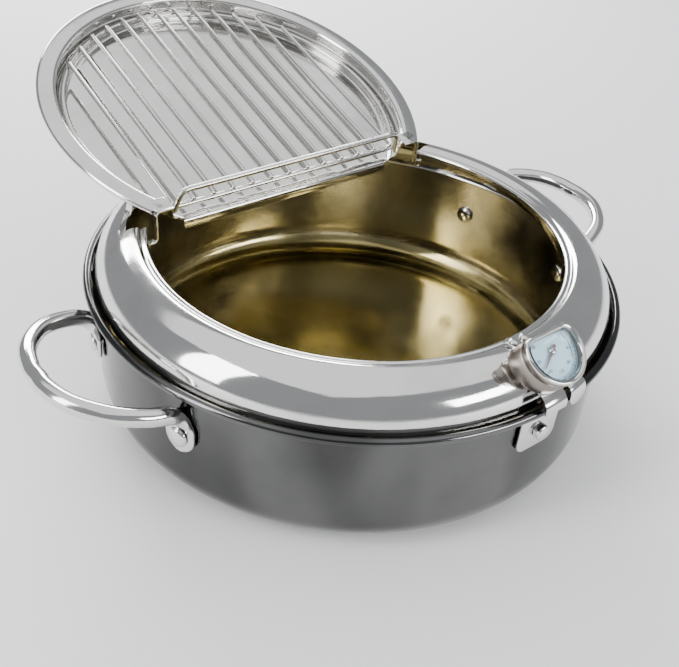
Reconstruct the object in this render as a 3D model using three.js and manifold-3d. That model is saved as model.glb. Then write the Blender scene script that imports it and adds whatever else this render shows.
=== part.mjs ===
// Stove-top deep fryer: a stainless pot with a splash ring, a dial thermometer in a rim holder,
// and a drip tray with a wire rack that hooks onto the ring.
//
// Millimetres, +Z up. The origin is the centre of the underside of the base.
// The thermometer is at the front (-Y), the drip tray at the rear (+Y), the handles at +X and -X.

import * as THREE from 'three';
import { mergeVertices } from 'three/addons/utils/BufferGeometryUtils.js';
import Module from 'manifold-3d';

const wasm = await Module();
wasm.setup();

// ---------------------------------------------------------------- driving dimensions

const GAP = 0.3;                 // clearance between pieces that touch or are welded
const SLIDE_GAP = 0.4;           // clearance between pieces that slide

const POT_INSIDE_RADIUS = 120;
const POT_HEIGHT = 70;           // table to the top of the rolled rim
const POT_SHEET = 1;
const POT_CORNER = 16;           // bend between floor and wall, at mid sheet
const RIM_FLARE = 3.8;           // how far the rolled bead's centre stands out from the wall
const RIM_CONE = 4.2;            // height of the flare that seats the splash ring
const RIM_BEAD = 1.4;            // bend radius of the rolled bead, at mid sheet

const BASE_RADIUS = 101;         // bonded disc under the pot
const BASE_CAP_SHEET = 0.8;
const CORE_THICKNESS = 2.4;

const HANDLE_ROD = 3.9;          // radius of the handle's rod
const HANDLE_REACH = 37.5;        // wall to the middle of the grip
const HANDLE_ANGLE = 17.5;       // degrees from the pot's X axis to each rivet
const HANDLE_RISE = 22;          // rivet up to the middle of the grip
const RIVET_DROP = 25.5;         // rim down to the handle rivets
const LUG_WIDTH = 15;
const LUG_HEIGHT = 17;
const LUG_THICKNESS = 2.4;
const RIVET_SHANK = 2.3;         // radius
const RIVET_HEAD = 4.8;          // radius
const RIVET_DOME = 2.2;          // height of a rivet's dome

const STOP_WIDTH = 22;           // plate riveted under the rim at the front
const STOP_HEIGHT = 17;
const STOP_SHEET = 1.2;
const STOP_CORNER = 5;
const STUD_RADIUS = 3.5;
const STUD_LENGTH = 3.6;

const RING_SHEET = 0.8;
const RING_BAND = 17.6;           // radial width of the convex outer band
const RING_WIDTH = 23.8;         // radial width from the band's foot to the mouth
const RING_RISE = 17;            // crest above the pot's rim
const RING_SKIRT = 4.6;          // depth of the skirt round the mouth
const NOTCH_ANGLE = 122;         // degrees from the front to each end of the skirt
const NOTCH_DEPTH = 9.5;         // how far the rear notch cuts into the ring

const HEAD_RADIUS = 14.5;        // thermometer bezel
const HEAD_FLAT = 8.2;           // head's centre to the flat of its D shape
const HEAD_DEPTH = 13.5;         // bezel's face to the back of the case
const HEAD_TILT = 36;            // degrees from facing straight up
const HEAD_SETBACK = 18;         // crest to the bezel's centre, outwards
const HEAD_RISE = 9;             // crest to the bezel's centre, upwards
const BEZEL_DEPTH = 3.6;
const BEZEL_WIDTH = 2.1;
const CASE_INSET = 0.2;          // the case is this much smaller than the bezel
const HOLDER_INSET = 1.1;        // holder's flat ends this far inside the bezel's outline
const CASE_WALL = 1.2;
const DIAL_THICKNESS = 0.6;
const GLASS_THICKNESS = 1;
const SPINDLE_RADIUS = 0.5;
const POINTER_REST = 214;        // degrees from the dial's +X axis, at the working heat
const POINTER_LENGTH = 9.2;
const PROBE_RADIUS = 2.2;
const PROBE_BORE = 1.6;
const PROBE_LENGTH = 60;
const NECK_RADIUS = 4;
const NECK_LENGTH = 5;
const COIL_TURNS = 5;
const COIL_PITCH = 1.4;
const COIL_RADIUS = 1.1;
const COIL_WIRE = 0.22;

const HOLDER_WIDTH = 12;
const HOLDER_SHEET = 1;
const SLEEVE_WALL = 1;
const SLEEVE_LENGTH = 6;
const HOLDER_RIVET = 1.3;        // shank radius
const LIFT_TAB_ANGLE = 6.6;      // degrees round from the front
const LIFT_TAB_WIDTH = 10;
const LIFT_TAB_SHEET = 0.9;

const TRAY_OVERLAP = 2.7;        // tray's edge beyond the mouth's edge
const TRAY_EDGE_INSET = 1.2;      // ends of the tray's straight edge inside the ends of the notch
const TRAY_TILT = 16.4;          // degrees
const TRAY_CLEAR = 0.4;          // floor of the tray above the ring, where they come closest
const TRAY_SHEET = 0.8;
const TRAY_FLANGE = 9;
const TRAY_DEPTH = 12;
const TRAY_STEP = 3;             // width of the step that carries the rack
const TRAY_STEP_DROP = 9.5;      // flange down to the step
const TRAY_LIP = 5;              // drip lip along the straight edge
const EAR_WIDTH = 3;
const EAR_INSET = 3.2;           // skirt to the ear, across
const EAR_HOOK = 4;              // how far the ear's hook reaches out under the skirt
const FOOT_WIDTH = 5;

const RACK_WIRE = 1.5;           // radius of the perimeter wire
const BAR_WIRE = 1.1;            // radius of the cross wires
const BAR_COUNT = 13;
const GUARD_WIRE = 1.4;
const GUARD_RISE = 13;           // guard wire above the perimeter wire

const ROUND = 52;                // segments round the pot
const SMALL_ROUND = 14;          // segments round small turned parts

// ---------------------------------------------------------------- values that follow

const deg = THREE.MathUtils.degToRad;
const wallMid = POT_INSIDE_RADIUS + POT_SHEET / 2;
const wallOutside = POT_INSIDE_RADIUS + POT_SHEET;
const coreBottom = BASE_CAP_SHEET + GAP;
const floorMid = coreBottom + CORE_THICKNESS + GAP + POT_SHEET / 2;
const rivetZ = POT_HEIGHT - RIVET_DROP;
const rimConeTop = POT_HEIGHT - POT_SHEET / 2 - RIM_BEAD / 2;
const rimConeBottom = rimConeTop - RIM_CONE;
const rimConeRun = RIM_FLARE - RIM_BEAD * Math.cos(deg(30));

// The ring's foot stands in the middle of the rim's flare, clear of it along the flare's normal.
const coneLength = Math.hypot(rimConeRun, RIM_CONE);
const seatOffset = POT_SHEET / 2 + RING_SHEET / 2 + GAP + RING_SHEET / 4;
const footRadius = wallMid + rimConeRun / 2 - seatOffset * RIM_CONE / coneLength;
const footZ = (rimConeTop + rimConeBottom) / 2 + seatOffset * rimConeRun / coneLength;
const crestRadius = footRadius - RING_BAND;
const mouthRadius = footRadius - RING_WIDTH;
const crestZ = POT_HEIGHT + RING_RISE;
const beadZ = crestZ - 1.6;

const headRadius = crestRadius + HEAD_SETBACK;
const headZ = crestZ + HEAD_RISE;

const trayRadius = mouthRadius + TRAY_OVERLAP;
const trayHalfChord = mouthRadius * Math.sin(deg(NOTCH_ANGLE)) - TRAY_EDGE_INSET;
const trayChord = Math.sqrt(trayRadius ** 2 - trayHalfChord ** 2);
const notchY = -mouthRadius * Math.cos(deg(NOTCH_ANGLE));
const skirtInside = mouthRadius - RING_SHEET / 2;
const earY = notchY - EAR_WIDTH / 2 - 1;
const earX = Math.sqrt(skirtInside ** 2 - (notchY - 1) ** 2) - EAR_INSET;
const trayY = notchY - 1.5;
const notchRadius = mouthRadius + NOTCH_DEPTH;
const wallTop = trayRadius - TRAY_FLANGE;
const stepOuter = wallTop - 1.4;
const floorOuter = stepOuter - TRAY_STEP;

// The tilted floor comes closest to the ring where its edge crosses the edge of the rear notch.
const arcY = trayY + trayChord * Math.cos(deg(TRAY_TILT));
const crossY = (arcY ** 2 + notchRadius ** 2 - floorOuter ** 2) / (2 * arcY);
const floorDrop = (TRAY_DEPTH + TRAY_SHEET / 2) / Math.cos(deg(TRAY_TILT));
const crossZ = crestZ + RING_SHEET / 2 + TRAY_CLEAR;
const trayZ = crossZ + floorDrop - (crossY - trayY) * Math.tan(deg(TRAY_TILT));

// ---------------------------------------------------------------- geometry helpers

function closed(geometry) {
  const bare = geometry.index ? geometry.toNonIndexed() : geometry.clone();
  for (const name of Object.keys(bare.attributes)) {
    if (name !== 'position') bare.deleteAttribute(name);
  }
  const merged = mergeVertices(bare, 1e-4);
  const corners = [];
  const index = merged.index.array;
  for (let i = 0; i < index.length; i += 3) {
    const [a, b, c] = [index[i], index[i + 1], index[i + 2]];
    if (a !== b && b !== c && c !== a) corners.push(a, b, c);
  }
  const triVerts = Uint32Array.from(corners);
  const vertProperties = Float32Array.from(merged.attributes.position.array);
  const solid = new wasm.Manifold(new wasm.Mesh({ numProp: 3, vertProperties, triVerts }));
  if (solid.volume() > 0) return solid;
  for (let i = 0; i < corners.length; i += 3) {
    [triVerts[i + 1], triVerts[i + 2]] = [triVerts[i + 2], triVerts[i + 1]];
  }
  return new wasm.Manifold(new wasm.Mesh({ numProp: 3, vertProperties, triVerts }));
}

function piece(name, solid, look) {
  const mesh = solid.getMesh();
  const geometry = new THREE.BufferGeometry();
  geometry.setAttribute('position', new THREE.BufferAttribute(mesh.vertProperties, 3));
  geometry.setIndex(new THREE.BufferAttribute(mesh.triVerts, 1));
  geometry.computeVertexNormals();
  const result = new THREE.Mesh(geometry, new THREE.MeshStandardMaterial(look));
  result.name = name;
  return result;
}

const place = (geometry, matrix) => geometry.clone().applyMatrix4(matrix);
const move = (x, y, z) => new THREE.Matrix4().makeTranslation(x, y, z);
const turnX = (angle) => new THREE.Matrix4().makeRotationX(angle);
const turnZ = (angle) => new THREE.Matrix4().makeRotationZ(angle);
const point = (x, y) => new THREE.Vector2(x, y);

function arc(cx, cy, rx, ry, from, to, steps) {
  const points = [];
  for (let i = 0; i <= steps; i += 1) {
    const angle = deg(from + (to - from) * i / steps);
    points.push(point(cx + rx * Math.cos(angle), cy + ry * Math.sin(angle)));
  }
  return points;
}

// Outline of a bent sheet: the mid line offset to both sides by half the thickness.
function sheetOutline(path, thickness) {
  const left = [];
  const right = [];
  path.forEach((p, i) => {
    const before = p.clone().sub(path[Math.max(i - 1, 0)]).normalize();
    const after = path[Math.min(i + 1, path.length - 1)].clone().sub(p).normalize();
    const along = before.clone().add(after).normalize();
    const ends = i === 0 || i === path.length - 1;
    const mitre = ends ? 1 : Math.max(along.dot(after), 0.5);
    const normal = point(-along.y, along.x).multiplyScalar(thickness / 2 / mitre);
    left.push(p.clone().add(normal));
    right.push(p.clone().sub(normal));
  });
  return left.concat(right.reverse());
}

// Turned solid about Z from an outline in (radius, height).
function turned(outline, segments = ROUND) {
  const onAxis = outline[0].x < 1e-6 && outline[outline.length - 1].x < 1e-6;
  const profile = onAxis ? outline : outline.concat([outline[0]]);
  profile.forEach((p) => { if (p.x < 1e-6) p.x = 0; });
  return new THREE.LatheGeometry(profile, segments).rotateX(Math.PI / 2);
}

function extruded(outline, depth, holes = []) {
  const shape = new THREE.Shape(outline);
  shape.holes = holes.map((hole) => new THREE.Path(hole));
  return new THREE.ExtrudeGeometry(shape, { depth, bevelEnabled: false });
}

// A bent strip at the front of the pot: outline in (radius, height), centred across X.
function frontStrip(path, thickness, width) {
  const axes = new THREE.Matrix4().set(0, 0, -1, width / 2, -1, 0, 0, 0, 0, 1, 0, 0, 0, 0, 0, 1);
  return place(extruded(sheetOutline(path, thickness), width), axes);
}

function circle(radius, segments, cx = 0, cy = 0) {
  return arc(cx, cy, radius, radius, 0, 360, segments).slice(0, segments);
}

function dShape(radius, flat, segments = 32) {
  const half = THREE.MathUtils.radToDeg(Math.acos(flat / radius));
  return arc(0, 0, radius, radius, 90 + half, 450 - half, segments);
}

function rod(curve, radius, sides, steps) {
  const shape = new THREE.Shape(circle(radius, sides));
  return new THREE.ExtrudeGeometry(shape, { extrudePath: curve, steps, bevelEnabled: false });
}

// Straight cylinder along Z between two heights.
function post(radius, from, to, segments = SMALL_ROUND) {
  return new THREE.CylinderGeometry(radius, radius, to - from, segments)
    .rotateX(Math.PI / 2)
    .translate(0, 0, (from + to) / 2);
}

const spline = (points) => new THREE.CatmullRomCurve3(
  points.map(([x, y, z]) => new THREE.Vector3(x, y, z)), false, 'centripetal');

// ---------------------------------------------------------------- looks

const STEEL = { color: 0xd2d0cc, roughness: 0.12, metalness: 1 };
const WIRE = { color: 0xc9c7c2, roughness: 0.18, metalness: 1 };
const SATIN = { color: 0xb4b2ae, roughness: 0.35, metalness: 1 };
const ALUMINIUM = { color: 0xb9bcc0, roughness: 0.45, metalness: 1 };
const BRASS = { color: 0xb08d4a, roughness: 0.35, metalness: 1 };
const DIAL = { color: 0xcfe1e6, roughness: 0.55, metalness: 0 };
const GLASS = { color: 0xe8f2f4, roughness: 0.03, metalness: 0, transparent: true, opacity: 0.3 };
const NEEDLE = { color: 0x6d4a4e, roughness: 0.45, metalness: 0.2 };

// ---------------------------------------------------------------- pot and base

// Frame of something on the wall: local Z points out of the wall, local Y is up.
function wallFrame(azimuth, z, radius) {
  return turnZ(deg(azimuth))
    .multiply(move(0, -radius, z))
    .multiply(turnX(Math.PI / 2));
}

const rivetAzimuths = [90 - HANDLE_ANGLE, 90 + HANDLE_ANGLE, -90 - HANDLE_ANGLE, -90 + HANDLE_ANGLE];
const studZ = POT_HEIGHT - RIM_CONE - 2.5 - STOP_HEIGHT * 0.45;

function potBody() {
  const path = [
    point(0, floorMid),
    ...arc(wallMid - POT_CORNER, floorMid + POT_CORNER, POT_CORNER, POT_CORNER, -90, 0, 5),
    point(wallMid, rimConeBottom),
    ...arc(wallMid + RIM_FLARE, POT_HEIGHT - POT_SHEET / 2 - RIM_BEAD, RIM_BEAD, RIM_BEAD, 150, -30, 4),
  ];
  let solid = closed(turned(sheetOutline(path, POT_SHEET)));
  const hole = post(RIVET_SHANK + GAP, -POT_SHEET - 4, 4);
  for (const azimuth of rivetAzimuths) {
    solid = solid.subtract(closed(place(hole, wallFrame(azimuth, rivetZ, wallMid))));
  }
  const studHole = post(STUD_RADIUS * 0.8 + GAP, -POT_SHEET - 4, 4);
  return solid.subtract(closed(place(studHole, wallFrame(0, studZ, wallMid))));
}

function baseCap() {
  const lip = 1.6;
  const path = [
    point(0, BASE_CAP_SHEET / 2),
    point(BASE_RADIUS - lip, BASE_CAP_SHEET / 2),
    point(BASE_RADIUS, BASE_CAP_SHEET / 2 + lip),
    point(BASE_RADIUS, floorMid - POT_SHEET / 2 - GAP),
  ];
  return closed(turned(sheetOutline(path, BASE_CAP_SHEET)));
}

function baseCore() {
  const bevel = 2;
  const radius = BASE_RADIUS - BASE_CAP_SHEET / 2 - GAP;
  return closed(turned([
    point(0, coreBottom),
    point(radius - bevel, coreBottom),
    point(radius, coreBottom + bevel),
    point(radius, coreBottom + CORE_THICKNESS),
    point(0, coreBottom + CORE_THICKNESS),
  ]));
}

// A rivet along Z with a domed head at each end; z = 0 is the middle of the wall.
function rivet(shank, head, dome, inner, outer) {
  const outerDome = arc(0, outer, head, dome, 0, 90, 3);
  const innerDome = arc(0, inner, head, dome, -90, 0, 3);
  return turned([...innerDome, point(shank, inner), point(shank, outer), ...outerDome], SMALL_ROUND);
}

const lugInner = wallOutside + SLIDE_GAP;
const lugOuter = lugInner + LUG_THICKNESS;

function handleRivet(azimuth) {
  const inner = -POT_SHEET / 2 - SLIDE_GAP;
  const outer = lugOuter + GAP - wallMid;
  const shape = rivet(RIVET_SHANK, RIVET_HEAD, RIVET_DOME, inner, outer);
  return closed(place(shape, wallFrame(azimuth, rivetZ, wallMid)));
}

// ---------------------------------------------------------------- handles

function handle(side) {
  const lugMid = (lugInner + lugOuter) / 2;
  const lugX = lugMid * Math.cos(deg(HANDLE_ANGLE));
  const lugY = lugMid * Math.sin(deg(HANDLE_ANGLE));
  const topX = wallOutside + HANDLE_REACH;
  const gripZ = rivetZ + HANDLE_RISE;
  const half = [
    [lugX, lugY, rivetZ + LUG_HEIGHT * 0.37],
    [lugX + 1, lugY + 0.4, rivetZ + LUG_HEIGHT * 0.55],
    [lugX + 5.5, lugY + 1.4, gripZ - 9],
    [lugX + 14, lugY + 1, gripZ - 6.2],
    [topX - 15, lugY - 4, gripZ - 2.5],
    [topX - 4, lugY - 17, gripZ - 0.4],
  ];
  const mirrored = half.map(([x, y, z]) => [x, -y, z]).reverse();
  const curve = spline([...half, [topX, 0, gripZ], ...mirrored]);
  let solid = closed(rod(curve, HANDLE_ROD, 8, 36));

  const lug = [
    point(-LUG_WIDTH / 2, LUG_HEIGHT / 2 - 2),
    ...arc(0, -LUG_HEIGHT / 2 + LUG_WIDTH / 2, LUG_WIDTH / 2, LUG_WIDTH / 2, 180, 360, 10),
    point(LUG_WIDTH / 2, LUG_HEIGHT / 2 - 2),
    point(HANDLE_ROD, LUG_HEIGHT / 2 + 2),
    point(-HANDLE_ROD, LUG_HEIGHT / 2 + 2),
  ];
  const plate = extruded(lug, LUG_THICKNESS, [circle(RIVET_SHANK + GAP, SMALL_ROUND)]);
  for (const angle of [90 - HANDLE_ANGLE, 90 + HANDLE_ANGLE]) {
    solid = solid.add(closed(place(plate, wallFrame(angle, rivetZ, lugInner))));
  }
  // Nothing of the handle comes closer to the wall than the backs of its lugs.
  const wall = closed(turned([point(0, 0), point(lugInner - 0.1, 0),
    point(lugInner - 0.1, 2 * POT_HEIGHT), point(0, 2 * POT_HEIGHT)]));
  const trimmed = solid.subtract(wall);
  return side > 0 ? trimmed : trimmed.mirror([1, 0, 0]);
}

// ---------------------------------------------------------------- stop plate and stud

const stopInner = wallOutside + SLIDE_GAP;
const stopTop = studZ + STOP_HEIGHT * 0.45;

function stopPlate() {
  const left = -STOP_WIDTH / 2;
  const bottom = stopTop - STOP_HEIGHT;
  const outline = [
    point(left, stopTop),
    ...arc(left + STOP_CORNER, bottom + STOP_CORNER, STOP_CORNER, STOP_CORNER, 180, 270, 4),
    ...arc(-left - STOP_CORNER, bottom + STOP_CORNER, STOP_CORNER, STOP_CORNER, 270, 360, 4),
    point(-left, stopTop),
  ];
  const hole = circle(STUD_RADIUS * 0.8 + GAP, SMALL_ROUND, 0, studZ);
  return closed(place(extruded(outline, STOP_SHEET, [hole]), wallFrame(0, 0, stopInner)));
}

function stopStud() {
  const inner = -POT_SHEET / 2 - SLIDE_GAP;
  const shoulder = stopInner + STOP_SHEET + GAP - wallMid;
  const shank = STUD_RADIUS * 0.8;
  const outline = [
    ...arc(0, inner, RIVET_HEAD * 0.8, RIVET_DOME * 0.7, -90, 0, 3),
    point(shank, inner),
    point(shank, shoulder),
    point(STUD_RADIUS, shoulder),
    ...arc(0, shoulder + STUD_LENGTH - 0.9, STUD_RADIUS, 0.9, 0, 90, 3),
  ];
  return closed(place(turned(outline, SMALL_ROUND), wallFrame(0, studZ, wallMid)));
}

// ---------------------------------------------------------------- splash ring

const headFrame = move(0, -headRadius, headZ).multiply(turnX(deg(HEAD_TILT)));
const holderFlat = HEAD_FLAT - HOLDER_INSET;
const plateTop = -HEAD_DEPTH - GAP;
const plateMid = plateTop - HOLDER_SHEET / 2;
const neckHole = NECK_RADIUS + SLIDE_GAP;

// A point of the head's mid plane, given in the head's own frame, as (radius, height).
function headPoint(y, z) {
  const p = new THREE.Vector3(0, y, z).applyMatrix4(headFrame);
  return point(-p.y, p.z);
}

// Height of the ring's mid sheet at a distance from the axis, from the crest outwards.
function ringTop(radius) {
  const out = (radius - crestRadius) / RING_BAND;
  return footZ + (crestZ - footZ) * Math.sqrt(1 - Math.max(out, 0) ** 2);
}

function ringPath() {
  return [
    ...arc(crestRadius, footZ, RING_BAND, crestZ - footZ, 0, 90, 6),
    point(mouthRadius + 4.4, crestZ - 0.3),
    point(mouthRadius + 2.6, beadZ - 0.3),
    point(mouthRadius + 1.1, beadZ + 0.3),
    point(mouthRadius + 0.2, beadZ - 0.3),
    point(mouthRadius, beadZ - 1.6),
    point(mouthRadius, beadZ - RING_SKIRT),
  ];
}

function splashRing() {
  let solid = closed(turned(sheetOutline(ringPath(), RING_SHEET)));

  // Rear notch, where the tray's straight edge drips into the pot.
  const notchDrum = closed(post(notchRadius, beadZ - 20, crestZ + 20, ROUND));
  const rearHalf = new THREE.BoxGeometry(4 * notchRadius, 2 * notchRadius, 50)
    .translate(0, notchY + notchRadius, crestZ);
  solid = solid.subtract(notchDrum.intersect(closed(rearHalf)));

  // Front opening under the head, where the holder's strap and the probe's neck sink into the band.
  const margin = SLIDE_GAP + RING_SHEET / 2;
  const opening = new THREE.BoxGeometry(HOLDER_WIDTH + 2 * margin, 2 * holderFlat + 3 * margin, 60)
    .translate(0, -margin / 2, 30 - HEAD_DEPTH - 3);
  solid = solid.subtract(closed(place(opening, headFrame)));

  // Two rivet holes in the crest for the holder.
  for (const x of holderRivetX) {
    const hole = post(HOLDER_RIVET + GAP, crestZ - 10, crestZ + 10, 16).translate(x, -holderRivetRadius, 0);
    solid = solid.subtract(closed(hole));
  }
  return solid;
}

// ---------------------------------------------------------------- thermometer holder

const holderStart = headPoint(holderFlat + 0.6, plateMid);
const holderRivetRadius = holderStart.x - HOLDER_RIVET - 2;
const holderRivetX = [-HOLDER_WIDTH / 4, HOLDER_WIDTH / 4];
const holderZ = crestZ + RING_SHEET / 2 + GAP + HOLDER_SHEET / 2;

function thermometerHolder() {
  const rimRadius = wallMid + RIM_FLARE + RIM_BEAD + POT_SHEET / 2;
  const legRadius = rimRadius + 3 * SLIDE_GAP + HOLDER_SHEET / 2;
  const path = [
    point(holderRivetRadius - 3, holderZ),
    point(holderStart.x - 0.9, holderZ),
    holderStart,
    headPoint(HOLDER_INSET - HEAD_RADIUS - 0.4, plateMid),
    point(legRadius - 1.2, POT_HEIGHT + 4.2),
    point(legRadius, POT_HEIGHT + 2.2),
    point(legRadius, POT_HEIGHT - 0.5),
  ];
  let solid = closed(frontStrip(path, HOLDER_SHEET, HOLDER_WIDTH));
  const hole = post(neckHole, plateMid - 3, plateMid + 3);
  solid = solid.subtract(closed(place(hole, headFrame)));
  for (const x of holderRivetX) {
    const rivetHole = post(HOLDER_RIVET + GAP, holderZ - 3, holderZ + 3, 16)
      .translate(x, -holderRivetRadius, 0);
    solid = solid.subtract(closed(rivetHole));
  }
  return solid;
}

function holderSleeve() {
  const top = plateMid - HOLDER_SHEET / 2 - GAP;
  const outline = [
    point(neckHole, top),
    point(neckHole, top - SLEEVE_LENGTH),
    point(neckHole + SLEEVE_WALL, top - SLEEVE_LENGTH),
    point(neckHole + SLEEVE_WALL, top),
  ];
  return closed(turned(outline, SMALL_ROUND));
}

function holderRivets() {
  const inner = crestZ - RING_SHEET / 2 - 2 * GAP;
  const outer = holderZ + HOLDER_SHEET / 2 + GAP;
  const shape = rivet(HOLDER_RIVET, HOLDER_RIVET + 0.7, 0.9, inner, outer);
  return holderRivetX.map((x) => closed(shape.clone().translate(x, -holderRivetRadius, 0)));
}

function liftTab() {
  const band = (angle) => arc(crestRadius, footZ, RING_BAND, crestZ - footZ, angle, angle, 1)[0];
  const off = RING_SHEET / 2 + GAP + LIFT_TAB_SHEET / 2;
  const legRadius = wallMid + RIM_FLARE + RIM_BEAD + POT_SHEET / 2 + 3 * SLIDE_GAP;
  const high = band(38);
  const low = band(22);
  const path = [
    point(high.x + off * 0.75, high.y + off * 0.75),
    point(low.x + off * 0.95, low.y + off * 0.55),
    point(legRadius - 1.6, POT_HEIGHT + 5.4),
    point(legRadius, POT_HEIGHT + 2.8),
    point(legRadius, POT_HEIGHT - 4),
  ];
  const strip = closed(frontStrip(path, LIFT_TAB_SHEET, LIFT_TAB_WIDTH));
  // The hanging end is rounded like a tongue.
  const radius = LIFT_TAB_WIDTH / 2;
  const bottom = POT_HEIGHT - 4;
  const tongue = [
    point(-radius, bottom + 40),
    ...arc(0, bottom + radius, radius, radius, 180, 360, 10),
    point(radius, bottom + 40),
  ];
  const mask = closed(place(extruded(tongue, 60), wallFrame(0, 0, crestRadius - 10)));
  return strip.intersect(mask);
}

// ---------------------------------------------------------------- thermometer, in the head's frame

const dialTop = -BEZEL_DEPTH - GAP;
const dialBottom = dialTop - DIAL_THICKNESS;
const caseRadius = HEAD_RADIUS - CASE_INSET;
const caseFlat = HEAD_FLAT - CASE_INSET;
const neckTop = -HEAD_DEPTH - GAP;
const probeEnd = -HEAD_DEPTH - PROBE_LENGTH;

function bezel() {
  const inner = dShape(HEAD_RADIUS - BEZEL_WIDTH, HEAD_FLAT - BEZEL_WIDTH);
  const ring = extruded(dShape(HEAD_RADIUS, HEAD_FLAT), BEZEL_DEPTH, [inner]);
  return closed(ring.translate(0, 0, -BEZEL_DEPTH));
}

function dialGlass() {
  const margin = BEZEL_WIDTH + GAP;
  const disc = extruded(dShape(HEAD_RADIUS - margin, HEAD_FLAT - margin), GLASS_THICKNESS);
  return closed(disc.translate(0, 0, -0.5 - GLASS_THICKNESS));
}

function dialPlate() {
  const margin = CASE_INSET + CASE_WALL + GAP;
  const hole = circle(SPINDLE_RADIUS + 2 * GAP, 16);
  const disc = extruded(dShape(HEAD_RADIUS - margin, HEAD_FLAT - margin), DIAL_THICKNESS, [hole]);
  return closed(disc.translate(0, 0, dialBottom));
}

function thermometerCase() {
  const outer = closed(extruded(dShape(caseRadius, caseFlat), dialTop + HEAD_DEPTH)
    .translate(0, 0, -HEAD_DEPTH));
  const hollow = closed(extruded(dShape(caseRadius - CASE_WALL, caseFlat - CASE_WALL), HEAD_DEPTH)
    .translate(0, 0, -HEAD_DEPTH + CASE_WALL));
  const hole = closed(post(PROBE_BORE, -HEAD_DEPTH - 1, -HEAD_DEPTH + 3, 16));
  return outer.subtract(hollow).subtract(hole);
}

function probeTube() {
  const tip = 1.4;
  return closed(turned([
    ...arc(0, probeEnd + tip, PROBE_RADIUS, tip, -90, 0, 3),
    point(PROBE_RADIUS, neckTop - NECK_LENGTH),
    point(NECK_RADIUS, neckTop - NECK_LENGTH),
    point(NECK_RADIUS, neckTop),
    point(PROBE_BORE, neckTop),
    point(PROBE_BORE, probeEnd + tip),
    point(0, probeEnd + tip),
  ], SMALL_ROUND));
}

const spindleEnd = probeEnd + 3;

function bimetalCoil() {
  const turns = [];
  const steps = COIL_TURNS * 8;
  for (let i = 0; i <= steps; i += 1) {
    const angle = 2 * Math.PI * i / 8;
    turns.push([COIL_RADIUS * Math.cos(angle), COIL_RADIUS * Math.sin(angle),
      spindleEnd + 2 + COIL_PITCH * i / 8]);
  }
  return closed(rod(spline(turns), COIL_WIRE, 4, steps));
}

function spindle() {
  return closed(post(SPINDLE_RADIUS, spindleEnd, dialTop + 0.4, 10));
}

const POINTER_SHEET = 0.5;
const pointerBottom = dialTop + 0.4 + GAP;

function pointer() {
  const arm = [
    point(-2.8, -0.75), point(0, -0.6), point(POINTER_LENGTH, -0.22),
    point(POINTER_LENGTH, 0.22), point(0, 0.6), point(-2.8, 0.75),
  ];
  const boss = post(1.6, pointerBottom, pointerBottom + POINTER_SHEET + 0.3, 16);
  const blade = extruded(arm, POINTER_SHEET).translate(0, 0, pointerBottom);
  return closed(place(blade, turnZ(deg(POINTER_REST)))).add(closed(boss));
}

// ---------------------------------------------------------------- drip tray, in the tray's frame
// Local origin: the middle of the straight edge, at the mid sheet of the flange. Local +Y runs
// away from the pot and local +Z is the flange's normal.

const trayFrame = move(0, trayY, trayZ).multiply(turnX(deg(TRAY_TILT)));
const rowToTray = trayFrame.clone().invert();

function trayPath() {
  return [
    point(0, -TRAY_DEPTH - 0.6),
    point(floorOuter * 0.55, -TRAY_DEPTH - 0.4),
    point(floorOuter - 2, -TRAY_DEPTH),
    point(floorOuter, -TRAY_DEPTH + 0.9),
    point(floorOuter + 0.6, -TRAY_STEP_DROP),
    point(stepOuter, -TRAY_STEP_DROP),
    point(wallTop, -0.8),
    point(wallTop + 0.8, 0),
    ...arc(trayRadius - 1.6, -1.2, 1.2, 1.2, 90, -60, 4),
  ];
}

// The ear hangs from the flange's corner inside the mouth and hooks out under the skirt.
const hookZ = beadZ - RING_SKIRT - RING_SHEET / 2 - 1.6;

function ear() {
  const flange = trayZ - TRAY_SHEET / 2;
  const x = earX;
  const path = [
    point(x - 9, flange),
    point(x - 1.4, flange),
    point(x, flange - 1.4),
    point(x, hookZ + 1.2),
    point(x + 1.2, hookZ),
    point(x + EAR_HOOK, hookZ),
    point(x + EAR_HOOK + 0.8, hookZ - 1.2),
  ];
  const strip = extruded(sheetOutline(path, TRAY_SHEET), EAR_WIDTH);
  return place(strip, turnX(Math.PI / 2)).translate(0, earY + EAR_WIDTH / 2, 0);
}

// The foot under each corner stands on the ring and carries the tray's weight.
function foot() {
  const y = trayY + 13;
  const x = Math.sqrt((trayRadius - TRAY_FLANGE / 2) ** 2 - (trayChord - 13) ** 2);
  const nearest = Math.hypot(x + 1.6, y - FOOT_WIDTH / 2);
  const toe = ringTop(nearest) + RING_SHEET / 2 + GAP + TRAY_SHEET / 2;
  const top = trayZ + (y - trayY) * Math.tan(deg(TRAY_TILT)) - 0.5;
  const path = [point(x - 4, top), point(x - 0.5, top - 0.4), point(x + 1.6, toe + 0.8), point(x + 3.2, toe)];
  const strip = extruded(sheetOutline(path, TRAY_SHEET), FOOT_WIDTH);
  return place(strip, turnX(Math.PI / 2)).translate(0, y + FOOT_WIDTH / 2, 0);
}

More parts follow.
